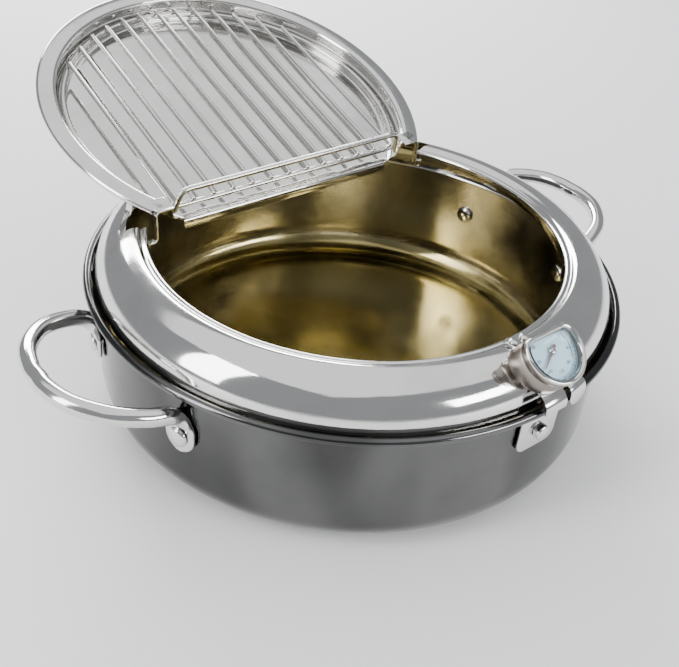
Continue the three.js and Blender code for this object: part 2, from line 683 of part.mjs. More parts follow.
function dripTray() {
  const disc = turned(sheetOutline(trayPath(), TRAY_SHEET)).translate(0, trayChord, 0);
  const size = 4 * trayRadius;
  const potSide = new THREE.BoxGeometry(size, size, size).translate(0, -size / 2, 0);
  let solid = closed(disc).subtract(closed(potSide));

  // Drip lip, bent down along the floor's straight edge.
  const lipHalf = Math.sqrt(floorOuter ** 2 - trayChord ** 2) - 2;
  const lip = extruded([point(0.6, -TRAY_DEPTH + 0.2), point(-1.6, -TRAY_DEPTH - TRAY_LIP),
    point(-0.8, -TRAY_DEPTH - TRAY_LIP), point(1.4, -TRAY_DEPTH - 0.6)], 2 * lipHalf);
  const across = new THREE.Matrix4().set(0, 0, 1, -lipHalf, 1, 0, 0, 0, 0, 1, 0, 0, 0, 0, 0, 1);
  solid = solid.add(closed(place(lip, across)));

  // The flange's corners reach forward as far as the ears.
  const cornerFront = earY - EAR_WIDTH / 2 - trayY;
  const cornerInner = rackHalf + GUARD_WIRE;
  const corner = extruded([point(cornerInner, 3), point(earX - 9, cornerFront),
    point(earX - 0.8, cornerFront), point(trayHalfChord - 2, 1.5), point(cornerInner + 1, 6)], TRAY_SHEET)
    .translate(0, 0, -TRAY_SHEET / 2);
  for (const side of [-1, 1]) {
    const mirror = new THREE.Matrix4().makeScale(side, 1, 1);
    for (const shape of [corner, place(ear(), rowToTray), place(foot(), rowToTray)]) {
      solid = solid.add(closed(place(shape, mirror)));
    }
  }
  return solid;
}

// ---------------------------------------------------------------- wire rack, in the tray's frame

const rackRadius = stepOuter - RACK_WIRE - 1.2;
const rackY = 5;
const rackZ = -TRAY_STEP_DROP + TRAY_SHEET / 2 + GAP + RACK_WIRE;
const barZ = rackZ + RACK_WIRE + GAP + BAR_WIRE;
const rackHalf = Math.sqrt(rackRadius ** 2 - (trayChord - rackY) ** 2);

class RackArc extends THREE.Curve {
  getPoint(t, target = new THREE.Vector3()) {
    const half = Math.acos((trayChord - rackY) / rackRadius);
    const angle = half + t * (2 * Math.PI - 2 * half) - Math.PI / 2;
    return target.set(
      rackRadius * Math.cos(angle), trayChord + rackRadius * Math.sin(angle), rackZ);
  }
}

function rackFrame() {
  const arcWire = closed(rod(new RackArc(), RACK_WIRE, 8, 44));
  const straight = closed(post(RACK_WIRE, -rackHalf - 0.4, rackHalf + 0.4, 8)
    .rotateY(Math.PI / 2)
    .translate(0, rackY, rackZ));
  return arcWire.add(straight);
}

function rackBar(index) {
  const pitch = 2 * (rackHalf - 2) / (BAR_COUNT - 1);
  const x = -rackHalf + 2 + pitch * index;
  const far = trayChord + Math.sqrt(rackRadius ** 2 - x ** 2);
  return closed(post(BAR_WIRE, rackY - 1.2, far + 0.8, 8)
    .rotateX(-Math.PI / 2)
    .translate(x, 0, barZ));
}

function rackGuard() {
  const y = rackY - RACK_WIRE - GUARD_WIRE - GAP;
  const half = rackHalf - 1;
  const top = rackZ + GUARD_RISE;
  const curve = spline([
    [-half, y, rackZ + 0.4], [-half + 1.2, y, rackZ + GUARD_RISE * 0.5],
    [-half + 3, y, top - 1.2], [-half + 6.5, y, top], [-half + 12, y, top],
    [half - 12, y, top], [half - 6.5, y, top], [half - 3, y, top - 1.2],
    [half - 1.2, y, rackZ + GUARD_RISE * 0.5], [half, y, rackZ + 0.4],
  ]);
  return closed(rod(curve, GUARD_WIRE, 6, 28));
}

// ---------------------------------------------------------------- assembly

const fryer = new THREE.Group();

fryer.add(
  piece('pot_body', potBody(), STEEL),
  piece('base_core', baseCore(), ALUMINIUM),
  piece('base_cap', baseCap(), SATIN),
  piece('handle_left', handle(-1), STEEL),
  piece('handle_right', handle(1), STEEL),
);
const rivetNames = ['right_front', 'right_rear', 'left_rear', 'left_front'];
rivetAzimuths.forEach((azimuth, i) => {
  fryer.add(piece(`handle_rivet_${rivetNames[i]}`, handleRivet(azimuth), STEEL));
});
fryer.add(
  piece('stop_plate', stopPlate(), STEEL),
  piece('stop_stud', stopStud(), STEEL),
  piece('splash_ring', splashRing(), STEEL),
  piece('thermometer_holder', thermometerHolder(), STEEL),
);
holderRivets().forEach((solid, i) => {
  fryer.add(piece(`holder_rivet_${i + 1}`, solid, STEEL));
});
const tabMesh = piece('ring_lift_tab', liftTab(), STEEL);
tabMesh.rotation.z = deg(LIFT_TAB_ANGLE);
fryer.add(tabMesh);

const head = new THREE.Group();
head.position.set(0, -headRadius, headZ);
head.rotation.x = deg(HEAD_TILT);
head.add(
  piece('holder_sleeve', holderSleeve(), STEEL),
  piece('thermometer_case', thermometerCase(), STEEL),
  piece('thermometer_bezel', bezel(), STEEL),
  piece('dial_plate', dialPlate(), DIAL),
  piece('dial_glass', dialGlass(), GLASS),
  piece('pointer', pointer(), NEEDLE),
  piece('pointer_spindle', spindle(), WIRE),
  piece('probe_tube', probeTube(), STEEL),
  piece('bimetal_coil', bimetalCoil(), BRASS),
);
fryer.add(head);

const tray = new THREE.Group();
tray.position.set(0, trayY, trayZ);
tray.rotation.x = deg(TRAY_TILT);
tray.add(
  piece('drip_tray', dripTray(), STEEL),
  piece('rack_frame', rackFrame(), WIRE),
  piece('rack_guard', rackGuard(), WIRE),
);
for (let i = 0; i < BAR_COUNT; i += 1) {
  const number = String(i + 1).padStart(2, '0');
  tray.add(piece(`rack_bar_${number}`, rackBar(i), WIRE));
}
fryer.add(tray);

export default fryer;
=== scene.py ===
# %% [markdown]
# # A stove-top deep fryer, in looks
# The fryer is a stainless pot with a curved splash ring on its rim. A dial thermometer sits in a
# holder at the front of the ring, and a drip tray with a wire rack hooks onto its rear.
# The engineering model is loaded first as a fixed frame: it says where every piece is and which
# body carries it. Each piece is then modelled again, smooth and finished, in the same place.

# %% Load the frame
import math

import bmesh
import bpy
from mathutils import Matrix, Vector


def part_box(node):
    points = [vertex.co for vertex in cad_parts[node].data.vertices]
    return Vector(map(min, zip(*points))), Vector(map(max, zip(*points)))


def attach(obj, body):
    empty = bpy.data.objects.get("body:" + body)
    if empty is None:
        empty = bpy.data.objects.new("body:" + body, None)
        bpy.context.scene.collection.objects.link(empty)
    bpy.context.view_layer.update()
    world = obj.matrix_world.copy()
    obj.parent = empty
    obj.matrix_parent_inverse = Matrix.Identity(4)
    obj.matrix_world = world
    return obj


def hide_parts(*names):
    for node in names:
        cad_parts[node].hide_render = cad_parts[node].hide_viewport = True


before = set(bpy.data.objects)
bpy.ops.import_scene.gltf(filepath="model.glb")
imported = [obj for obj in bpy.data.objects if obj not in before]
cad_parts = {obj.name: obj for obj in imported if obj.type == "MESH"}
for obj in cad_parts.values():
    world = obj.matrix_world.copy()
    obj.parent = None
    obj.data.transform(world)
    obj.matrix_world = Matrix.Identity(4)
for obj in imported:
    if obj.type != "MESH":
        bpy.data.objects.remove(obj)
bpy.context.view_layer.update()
bpy.ops.object.select_all(action="DESELECT")

# %% [markdown]
# ## Camera
# The camera comes first, so that every later piece can be judged from the same place. It stands
# a little over 40 degrees to the left of the front and looks down at about 37 degrees, rolled
# slightly, from less than half a metre: close enough for the near handle to look large.

# %% Camera
AZIMUTH, ELEVATION, ROLL = math.radians(-41.26), math.radians(36.6), math.radians(5.81)
back = Vector((math.sin(AZIMUTH) * math.cos(ELEVATION), -math.cos(AZIMUTH) * math.cos(ELEVATION),
               math.sin(ELEVATION)))
level = Vector((math.cos(AZIMUTH), math.sin(AZIMUTH), 0))
upright = back.cross(level)
right = math.cos(ROLL) * level + math.sin(ROLL) * upright
up = math.cos(ROLL) * upright - math.sin(ROLL) * level
target = Vector((-0.01585, -0.01247, 0.040))
bpy.ops.object.camera_add()
camera = bpy.context.object
camera.name = "camera"
turn = Matrix((right, up, back)).transposed().to_4x4()
camera.matrix_world = Matrix.Translation(target + back * 0.44557) @ turn
camera.data.lens, camera.data.sensor_width, camera.data.clip_start = 49.13, 36, 0.01
bpy.context.scene.camera = camera
print("camera at", [round(c, 4) for c in camera.matrix_world.translation])

# %% [markdown]
# ## Small helpers
# Lengths are written in millimetres, as on a drawing, and turned into metres where they are used.
# `arc` and `rounded` draw half sections: real sheet metal has no sharp folds, so every corner of
# a section is eased before it becomes a surface.

# %% Sections
MM = 0.001


def arc(cx, cz, rx, rz, first, last, steps):
    """Points on an ellipse from one angle to another, in degrees."""
    angles = [math.radians(first + (last - first) * i / steps) for i in range(steps + 1)]
    return [(cx + rx * math.cos(a), cz + rz * math.sin(a)) for a in angles]


def rounded(path, radius, steps=5):
    """The same open path with its corners eased."""
    points = [Vector(p) for p in path]
    result = [points[0]]
    for before, corner, after in zip(points, points[1:], points[2:]):
        reach = [min(radius, 0.45 * (p - corner).length) for p in (before, after)]
        a = corner + (before - corner).normalized() * reach[0]
        b = corner + (after - corner).normalized() * reach[1]
        for i in range(steps + 1):
            t = i / steps
            result.append(a * (1 - t) ** 2 + corner * 2 * t * (1 - t) + b * t ** 2)
    result.append(points[-1])
    return [tuple(p) for p in result]


def spline(points, steps):
    """A smooth line through the points, with this many steps in each stretch."""
    points = [Vector(p) for p in points]
    points = [2 * points[0] - points[1]] + points + [2 * points[-1] - points[-2]]
    result = []
    for p0, p1, p2, p3 in zip(points, points[1:], points[2:], points[3:]):
        t0 = 0
        t1 = t0 + (p1 - p0).length ** 0.5
        t2 = t1 + (p2 - p1).length ** 0.5
        t3 = t2 + (p3 - p2).length ** 0.5
        for i in range(steps):
            t = t1 + (t2 - t1) * i / steps
            a1 = p0.lerp(p1, (t - t0) / (t1 - t0))
            a2 = p1.lerp(p2, (t - t1) / (t2 - t1))
            a3 = p2.lerp(p3, (t - t2) / (t3 - t2))
            b1 = a1.lerp(a2, (t - t0) / (t2 - t0))
            b2 = a2.lerp(a3, (t - t1) / (t3 - t1))
            result.append(b1.lerp(b2, (t - t1) / (t2 - t1)))
    result.append(points[-2])
    return result


print("a rounded corner has", len(rounded([(0, 0), (1, 0), (1, 1)], 0.3)), "points")

# %% [markdown]
# ## Ways of making a piece
# Three shop processes make nearly everything here. Spinning: a half section is drawn vertex by
# vertex and spun about an axis. Bending strip: an edge is extruded along a path. Drawing wire:
# rings are placed along a line and bridged. Solidify then gives sheet its thickness, and Bevel
# breaks the edges, because it is the fine bright line on an edge that makes metal look real.

# %% Modelling steps


def deselect():
    if bpy.context.object and bpy.context.object.mode != "OBJECT":
        bpy.ops.object.mode_set(mode="OBJECT")
    bpy.ops.object.select_all(action="DESELECT")


def pick(piece):
    deselect()
    piece.select_set(True)
    bpy.context.view_layer.objects.active = piece


def named(name):
    piece = bpy.context.object
    piece.name = piece.data.name = name
    return piece


def modify(piece, kind, **settings):
    """Adds a modifier and applies it."""
    pick(piece)
    modifier = piece.modifiers.new(kind.lower(), kind)
    for key, value in settings.items():
        setattr(modifier, key, value)
    bpy.ops.object.modifier_apply(modifier=modifier.name)
    return piece


def place(piece, matrix):
    """Moves a piece and keeps the place in its mesh."""
    pick(piece)
    piece.matrix_world = matrix
    bpy.ops.object.transform_apply(location=True, rotation=True, scale=True)
    return piece


def edit_all(piece):
    """Goes into edit mode with everything selected."""
    pick(piece)
    bpy.ops.object.mode_set(mode="EDIT")
    bpy.ops.mesh.select_all(action="SELECT")


def leave_edit():
    """Turns every face outwards and leaves edit mode."""
    bpy.ops.mesh.select_all(action="SELECT")
    bpy.ops.mesh.normals_make_consistent(inside=False)
    bpy.ops.object.mode_set(mode="OBJECT")


def select_verts(piece, wanted):
    """In edit mode, selects the vertices whose place passes the test, and nothing else."""
    bpy.ops.mesh.select_all(action="DESELECT")
    mesh = bmesh.from_edit_mesh(piece.data)
    for vertex in mesh.verts:
        vertex.select_set(wanted(vertex.co))
    bmesh.update_edit_mesh(piece.data)


def lone_vertex(name, x, y, z):
    """A piece that is one selected vertex, in edit mode."""
    deselect()
    bpy.ops.mesh.primitive_plane_add(size=MM, location=(x * MM, y * MM, z * MM))
    piece = named(name)
    bpy.ops.object.transform_apply(location=True, rotation=True, scale=True)
    bpy.ops.object.mode_set(mode="EDIT")
    bpy.ops.mesh.select_all(action="SELECT")
    bpy.ops.mesh.merge(type="CENTER")
    return piece


def spun(name, section, steps=192):
    """A half section in (radius, height), spun about Z."""
    piece = lone_vertex(name, section[0][0], 0, section[0][1])
    for (r0, z0), (r1, z1) in zip(section, section[1:]):
        step = ((r1 - r0) * MM, 0, (z1 - z0) * MM)
        bpy.ops.mesh.extrude_vertices_move(TRANSFORM_OT_translate={"value": step})
    bpy.ops.mesh.select_all(action="SELECT")
    bpy.ops.mesh.spin(steps=steps, angle=2 * math.pi, center=(0, 0, 0), axis=(0, 0, 1))
    bpy.ops.mesh.select_all(action="SELECT")
    bpy.ops.mesh.remove_doubles(threshold=2e-6)
    leave_edit()
    return piece


def strip(name, path, across):
    """An edge as long as across, extruded along a path of points in space."""
    across = Vector(across)
    start = Vector(path[0]) - across / 2
    piece = lone_vertex(name, *start)
    bpy.ops.mesh.extrude_vertices_move(TRANSFORM_OT_translate={"value": across * MM})
    bpy.ops.mesh.select_all(action="SELECT")
    for a, b in zip(path, path[1:]):
        step = (Vector(b) - Vector(a)) * MM
        bpy.ops.mesh.extrude_edges_move(TRANSFORM_OT_translate={"value": step})
    bpy.ops.object.mode_set(mode="OBJECT")
    return piece


def sheet(piece, thickness, edge=0.3):
    """Gives a surface the thickness of its metal, half to each side, and breaks the edges."""
    modify(piece, "SOLIDIFY", thickness=thickness * MM, offset=0, use_even_offset=True)
    return broken(piece, edge)


def broken(piece, width, angle=50, segments=3):
    modify(piece, "BEVEL", width=width * MM, segments=segments, limit_method="ANGLE",
           angle_limit=math.radians(angle), use_clamp_overlap=True)
    return piece


def smooth(piece, angle=40):
    pick(piece)
    bpy.ops.object.shade_smooth_by_angle(angle=math.radians(angle))
    return piece


def cut(piece, *cutters):
    """Takes the cutters' shapes out of a piece, and throws the cutters away."""
    for cutter in cutters:
        modify(piece, "BOOLEAN", operation="DIFFERENCE", object=cutter, solver="EXACT")
        bpy.data.objects.remove(cutter, do_unlink=True)
    return piece


def joined(name, *parts):
    deselect()
    for part in parts:
        part.select_set(True)
    bpy.context.view_layer.objects.active = parts[0]
    bpy.ops.object.join()
    return named(name)


def copied(piece, name):
    """A copy with a mesh of its own."""
    pick(piece)
    bpy.ops.object.duplicate()
    return named(name)


def lofted(name, rings, around=False):
    """Bridges rings of points, each with the same count, into a skin. Ends are capped."""
    deselect()
    sides = len(rings[0])
    bpy.ops.mesh.primitive_circle_add(vertices=sides, radius=MM)
    piece = named(name)
    bpy.ops.object.mode_set(mode="EDIT")
    for n, ring in enumerate(rings):
        if n:
            bpy.ops.mesh.primitive_circle_add(vertices=sides, radius=MM)
        mesh = bmesh.from_edit_mesh(piece.data)
        for vertex, point in zip(list(mesh.verts)[-sides:], ring):
            vertex.co = Vector(point) * MM
        bmesh.update_edit_mesh(piece.data)
    pairs = [(n, n + 1) for n in range(len(rings) - 1)] + ([(len(rings) - 1, 0)] if around else [])
    for pair in pairs:
        select_rings(piece, sides, pair)
        bpy.ops.mesh.bridge_edge_loops()
    if not around:
        for end in (0, len(rings) - 1):
            select_rings(piece, sides, (end,))
            bpy.ops.mesh.edge_face_add()
    leave_edit()
    return piece


def select_rings(piece, sides, chosen):
    """Selects the edges of some of the rings, and nothing else."""
    bpy.ops.mesh.select_all(action="DESELECT")
    mesh = bmesh.from_edit_mesh(piece.data)
    mesh.verts.ensure_lookup_table()
    wanted = {i for n in chosen for i in range(n * sides, (n + 1) * sides)}
    for edge in mesh.edges:
        a, b = (v.index for v in edge.verts)
        if a in wanted and b in wanted and a // sides == b // sides:
            edge.select_set(True)
    bmesh.update_edit_mesh(piece.data)


def wire_rings(line, widths, across, sides=16, closed=False):
    """Rings along a line. widths gives half the width and half the thickness at each point,
    and how square the ring is: 1 is round."""
    line = [Vector(p) for p in line]
    side = Vector(across)
    rings = []
    for i, p in enumerate(line):
        before = line[i - 1] if i or closed else line[0]
        after = line[(i + 1) % len(line)] if i < len(line) - 1 or closed else line[-1]
        along = (after - before).normalized()
        side = (side - side.dot(along) * along).normalized()
        out = along.cross(side)
        wide, thick, square = widths[i]
        ring = []
        for k in range(sides):
            a = 2 * math.pi * k / sides
            c, s = math.cos(a), math.sin(a)
            c = math.copysign(abs(c) ** square, c) * wide
            s = math.copysign(abs(s) ** square, s) * thick
            ring.append(p + side * c + out * s)
        rings.append(ring)
    return rings


print("helpers ready")

# %% [markdown]
# ## Effects that several finishes share
# Polished steel is never one flat colour. Spinning and buffing leave fine lines round the pot,
# fingers and wiping leave soft patches where the shine changes, and the sheet itself waves by a
# hair, which bends what it reflects. Each effect is a node group, used by several finishes.

# %% Node tools


def add(tree, kind, x=0, y=0, inputs=None, **settings):
    """A new node. Each of its inputs is linked, if a socket is given, or set to a plain value."""
    node = tree.nodes.new(kind)
    node.location = (x, y)
    for key, value in settings.items():
        setattr(node, key, value)
    for key, value in (inputs or {}).items():
        if isinstance(value, bpy.types.NodeSocket):
            tree.links.new(value, node.inputs[key])
        else:
            node.inputs[key].default_value = value
    return node


def node_group(name, outputs, **numbers):
    """A new shader node group that reads a Vector and some numbers, and puts out masks."""
    group = bpy.data.node_groups.new(name, "ShaderNodeTree")
    group.interface.new_socket("Vector", in_out="INPUT", socket_type="NodeSocketVector")
    for label, value in numbers.items():
        socket = group.interface.new_socket(label, in_out="INPUT", socket_type="NodeSocketFloat")
        socket.default_value = value
    for label in outputs:
        group.interface.new_socket(label, in_out="OUTPUT", socket_type="NodeSocketFloat")
    return group, add(group, "NodeGroupInput", -900).outputs


def math_node(tree, operation, a, b=0.0, x=0, y=0):
    return add(tree, "ShaderNodeMath", x, y, {0: a, 1: b}, operation=operation).outputs[0]


def ranged(tree, value, low, high, x, y, start=0.0, end=1.0, kind="LINEAR"):
    """A value carried over from the range low to high to the range start to end, and held there."""
    span = {"Value": value, "From Min": low, "From Max": high, "To Min": start, "To Max": end}
    return add(tree, "ShaderNodeMapRange", x, y, span, interpolation_type=kind).outputs[0]


def mixed(tree, factor, a, b, x, y, blend="MIX"):
    """Two colours mixed by a factor. Each is a socket or plain red, green and blue."""
    a, b = ((*colour, 1) if isinstance(colour, tuple) else colour for colour in (a, b))
    return add(tree, "ShaderNodeMix", x, y, {"Factor": factor, "A": a, "B": b}, data_type="RGBA",
               blend_type=blend).outputs["Result"]


def from_axis(tree, where, x, y):
    """The distance from the pot's axis, and the place laid flat that it is measured in."""
    flat = add(tree, "ShaderNodeVectorMath", x, y, {0: where, 1: (1, 1, 0)}, operation="MULTIPLY")
    out = add(tree, "ShaderNodeVectorMath", x + 160, y, {0: flat.outputs[0]}, operation="LENGTH")
    return out.outputs["Value"], flat.outputs[0]


print("node tools ready")

# %% Round-the-axis lines
# Fine lines that run round the axis, as a buffing wheel leaves them on a spinning pot.
round_lines, given = node_group("round_lines", ["Lines"], Fineness=1600.0, Break=14.0)
split = add(round_lines, "ShaderNodeSeparateXYZ", -700, 0, {0: given["Vector"]}).outputs
radius = from_axis(round_lines, given["Vector"], -560, 120)[0]
bearing = math_node(round_lines, "ARCTAN2", split[1], split[0], -420, -160)
across = math_node(round_lines, "MULTIPLY", radius, given["Fineness"], -150, 100)
along = math_node(round_lines, "MULTIPLY", bearing, given["Break"], -150, -200)
upwards = math_node(round_lines, "MULTIPLY", split[2], given["Fineness"], -150, -60)
packed = add(round_lines, "ShaderNodeCombineXYZ", 0, 0, {0: across, 1: along, 2: upwards})
grain = add(round_lines, "ShaderNodeTexNoise", 200, 0,
            {"Vector": packed.outputs[0], "Scale": 1, "Detail": 3})
add(round_lines, "NodeGroupOutput", 900, 0, {"Lines": grain.outputs["Fac"]})
print("group:", round_lines.name)

# %% Hand marks and waviness
# Soft patches from hands and cloths, the sheet's own slow wave, and a few fine wipe marks.
hand_marks, given = node_group("hand_marks", ["Patches", "Wave", "Scuffs"], Size=28.0)
cloudy = add(hand_marks, "ShaderNodeTexNoise", -300, 200,
             {"Vector": given["Vector"], "Scale": given["Size"], "Detail": 5, "Roughness": 0.6})
slow = add(hand_marks, "ShaderNodeTexNoise", -300, -60,
           {"Vector": given["Vector"], "Scale": 17, "Detail": 1})
stretch = add(hand_marks, "ShaderNodeMapping", -500, -320,
              {"Vector": given["Vector"], "Scale": (90, 900, 300), "Rotation": (0.3, 0.2, 0.7)})
scratch = add(hand_marks, "ShaderNodeTexNoise", -300, -320,
              {"Vector": stretch.outputs[0], "Scale": 1, "Detail": 2})
add(hand_marks, "NodeGroupOutput", 900, 0, {
    "Patches": ranged(hand_marks, cloudy.outputs["Fac"], 0.42, 0.68, 0, 200),
    "Wave": slow.outputs["Fac"],
    "Scuffs": ranged(hand_marks, scratch.outputs["Fac"], 0.66, 0.74, 0, -320)})
print("group:", hand_marks.name)

# %% Painted reflection bands
# Broad bands that run up and down a round wall and darken it: painted dark reflections, standing
# in for the dark surroundings that a round polished wall mirrors in upright streaks. The direction
# from the axis is used instead of an angle, so there is no seam, and the bands fade out below the
# bend, so that the floor stays plain.
painted_reflection_bands, given = node_group("painted_reflection_bands", ["PaintedReflections"], Count=2.4)
out, flat = from_axis(painted_reflection_bands, given["Vector"], -700, 100)
way = add(painted_reflection_bands, "ShaderNodeVectorMath", -520, 250, {0: flat}, operation="NORMALIZE")
spread = add(painted_reflection_bands, "ShaderNodeVectorMath", -340, 100,
             {0: way.outputs[0], "Scale": given["Count"]}, operation="SCALE")
lean = add(painted_reflection_bands, "ShaderNodeVectorMath", -340, -100,
           {0: given["Vector"], 1: (0, 0, 9)}, operation="MULTIPLY")
spot = add(painted_reflection_bands, "ShaderNodeVectorMath", -160, 0,
           {0: spread.outputs[0], 1: lean.outputs[0]}, operation="ADD")
cloudy = add(painted_reflection_bands, "ShaderNodeTexNoise", 20, 0,
             {"Vector": spot.outputs[0], "Scale": 1, "Detail": 1})
reflection_band = ranged(painted_reflection_bands, cloudy.outputs["Fac"], 0.40, 0.62, 220, 0, kind="SMOOTHSTEP")
on_the_wall = ranged(painted_reflection_bands, out, 0.094, 0.116, 220, 300, kind="SMOOTHSTEP")
add(painted_reflection_bands, "NodeGroupOutput", 900, 0,
    {"PaintedReflections": math_node(painted_reflection_bands, "MULTIPLY", reflection_band, on_the_wall, 420, 100)})
print("group:", painted_reflection_bands.name)

# %% [markdown]
# ## Finishes
# One recipe makes all the steels: a metal whose shine and colour change over the surface.
# Mirror-polished, satin and wire differ only in their numbers. The pot's dark outer colour and the
# upright bands on the pot's wall and the thermometer case are painted dark reflections. The inside
# of the pot is warmer, darker and browner on the floor than up the wall. Its tint is kept inside by a
# mask: inside is where a point is nearer to the centre of the bend between floor and wall than the
# middle of the sheet is.

# %% Steel recipe
WALL = 120.5          # middle of the wall's sheet
FLOOR = 4.3           # middle of the floor's sheet
BEND = 16             # radius of the bend between them


def new_finish(name):
    """A material, its tree, its shader and the Object coordinates that its patterns follow."""
    material = bpy.data.materials.new(name)
    material.use_nodes = True
    tree = material.node_tree
    where = add(tree, "ShaderNodeTexCoord", -1300).outputs["Object"]
    return material, tree, tree.nodes["Principled BSDF"], where


def bumped(tree, shader, height, strength, distance):
    bump = add(tree, "ShaderNodeBump", -300, -200,
               {"Height": height, "Strength": strength, "Distance": distance})
    tree.links.new(bump.outputs[0], shader.inputs["Normal"])


def warm_inside(tree, where, tone, wall, floor):
    """Changes a tone to the wall's and the floor's warm colours on the inside of the pot."""
    height = add(tree, "ShaderNodeSeparateXYZ", -1900, 650, {0: where}).outputs[2]
    out = from_axis(tree, where, -1700, 700)[0]
    past = math_node(tree, "SUBTRACT", out, (WALL - BEND) * MM, -1300, 700)
    under = math_node(tree, "SUBTRACT", (FLOOR + BEND) * MM, height, -1300, 560)
    past = math_node(tree, "MAXIMUM", past, 0.0, -1150, 700)
    under = math_node(tree, "MAXIMUM", under, 0.0, -1150, 560)
    far = math_node(tree, "ADD", math_node(tree, "MULTIPLY", past, past, -1000, 700),
                    math_node(tree, "MULTIPLY", under, under, -1000, 560), -850, 650)
    inside = math_node(tree, "LESS_THAN", far, ((BEND - 0.03) * MM) ** 2, -420, 650)
    high = ranged(tree, height, 0.010, 0.036, -560, 900)
    return mixed(tree, inside, tone, mixed(tree, high, floor, wall, -380, 900), -250, 500)


def steel(name, colour, shade, shine, dull, lines=0.05, wave=0.5, fineness=1600.0, warm=None,
          painted_reflection_depth=0.0):
    """Steel from a clean colour and a marked shade, from shine (clean) to dull (marked) roughness."""
    material, tree, shader, where = new_finish(name)
    shader.inputs["Metallic"].default_value = 1
    rings = add(tree, "ShaderNodeGroup", -1000, 200, {"Vector": where, "Fineness": fineness},
                node_tree=round_lines).outputs
    marks = add(tree, "ShaderNodeGroup", -1000, -150, {"Vector": where}, node_tree=hand_marks).outputs
    marked = math_node(tree, "MULTIPLY", marks["Patches"], 0.7, -750, 350)
    tone = mixed(tree, marked, colour, shade, -500, 300)
    if warm:
        tone = warm_inside(tree, where, tone, *warm)
    # Upright bands of painted dark reflection, multiplied into the tone.
    if painted_reflection_depth:
        upright = add(tree, "ShaderNodeGroup", -1000, 450, {"Vector": where}, node_tree=painted_reflection_bands)
        tone = mixed(tree, upright.outputs["PaintedReflections"], tone, (1 - painted_reflection_depth,) * 3, -60, 450, "MULTIPLY")
    tree.links.new(tone, shader.inputs["Base Color"])
    scuffed = math_node(tree, "MULTIPLY", marks["Scuffs"], 0.35, -750, -100)
    worn = math_node(tree, "ADD", marks["Patches"], scuffed, -620, -60)
    tree.links.new(ranged(tree, worn, 0, 1, -500, 0, shine, dull), shader.inputs["Roughness"])
    height = math_node(tree, "ADD", math_node(tree, "MULTIPLY", rings["Lines"], lines, -750, 120),
                       math_node(tree, "MULTIPLY", marks["Wave"], wave, -750, -260), -560, 60)
    bumped(tree, shader, height, 0.6, 0.0004)
    return material


polished_steel = steel("polished_steel", (0.72, 0.715, 0.70), (0.60, 0.595, 0.58), 0.07, 0.17)
# The pot's outer colour is painted dark: a painted reflection of a black hob, darker than the steel itself.
# Its upright bands are painted dark reflections too.
pot_steel = steel("pot_steel", (0.135, 0.135, 0.135), (0.10, 0.10, 0.102), 0.10, 0.24, lines=0.10,
                  painted_reflection_depth=0.5, warm=((0.68, 0.645, 0.58), (0.43, 0.36, 0.15)))
wire_steel = steel("wire_steel", (0.70, 0.69, 0.67), (0.55, 0.54, 0.52), 0.10, 0.24, lines=0.02,
                   wave=0.15, fineness=900.0)
satin_steel = steel("satin_steel", (0.50, 0.50, 0.49), (0.40, 0.40, 0.39), 0.26, 0.42, lines=0.35,
                    wave=0.2, fineness=1100.0)
# The case's upright bands are painted dark reflections.
case_steel = steel("case_steel", (0.40, 0.35, 0.31), (0.28, 0.245, 0.22), 0.27, 0.40, lines=0.06,
                   wave=0.2, painted_reflection_depth=0.3)
core_aluminium = steel("core_aluminium", (0.62, 0.63, 0.64), (0.5, 0.5, 0.51), 0.38, 0.55,
                       lines=0.3, wave=0.1)
bimetal = steel("bimetal_strip", (0.62, 0.45, 0.22), (0.45, 0.32, 0.16), 0.28, 0.45, lines=0.1)
print("steels:", polished_steel.name, pot_steel.name, wire_steel.name, satin_steel.name)

# %% [markdown]
# The dial is printed enamel under glass: a matt, slightly uneven pale blue, dark print and a
# reddish-brown needle. The glass lets light through to the dial without darkening it, so its
# shadow is left out with a Light Path node.

# %% Paint, print and glass


def painted(name, colour, shade, rough, coat=0.0, size=220.0):
    material, tree, shader, where = new_finish(name)
    shader.inputs["Coat Weight"].default_value = coat
    cloud = add(tree, "ShaderNodeTexNoise", -700, 0,
                {"Vector": where, "Scale": size, "Detail": 6}).outputs["Fac"]
    tree.links.new(mixed(tree, cloud, colour, shade, -400, 200), shader.inputs["Base Color"])
    gloss = ranged(tree, cloud, 0, 1, -400, -50, rough, rough + 0.2)
    tree.links.new(gloss, shader.inputs["Roughness"])
    bumped(tree, shader, cloud, 0.15, 0.0001)
    return material


dial_enamel = painted("dial_enamel", (0.47, 0.66, 0.74), (0.38, 0.57, 0.66), 0.35, size=160.0)
dial_print = painted("dial_print", (0.035, 0.045, 0.06), (0.06, 0.07, 0.085), 0.4, size=900.0)
needle_paint = painted("needle_paint", (0.22, 0.09, 0.10), (0.16, 0.06, 0.07), 0.3, coat=0.4)

gauge_glass, glass_tree, glass, where = new_finish("gauge_glass")
glass.inputs["Transmission Weight"].default_value = 1
glass.inputs["IOR"].default_value = 1.35
film = add(glass_tree, "ShaderNodeTexNoise", -800, 0, {"Vector": where, "Scale": 240}).outputs["Fac"]
smear = ranged(glass_tree, film, 0, 1, -500, 0, 0.0, 0.05)
glass_tree.links.new(smear, glass.inputs["Roughness"])
tone = mixed(glass_tree, film, (0.97, 0.99, 1), (0.9, 0.95, 0.97), -500, 200)
glass_tree.links.new(tone, glass.inputs["Base Color"])
ray = add(glass_tree, "ShaderNodeLightPath", -200, 400).outputs["Is Shadow Ray"]
clear = add(glass_tree, "ShaderNodeBsdfTransparent", 100, 300).outputs[0]
shown = add(glass_tree, "ShaderNodeMixShader", 400, 200, {0: ray, 1: glass.outputs[0], 2: clear})
glass_tree.links.new(shown.outputs[0], glass_tree.nodes["Material Output"].inputs["Surface"])
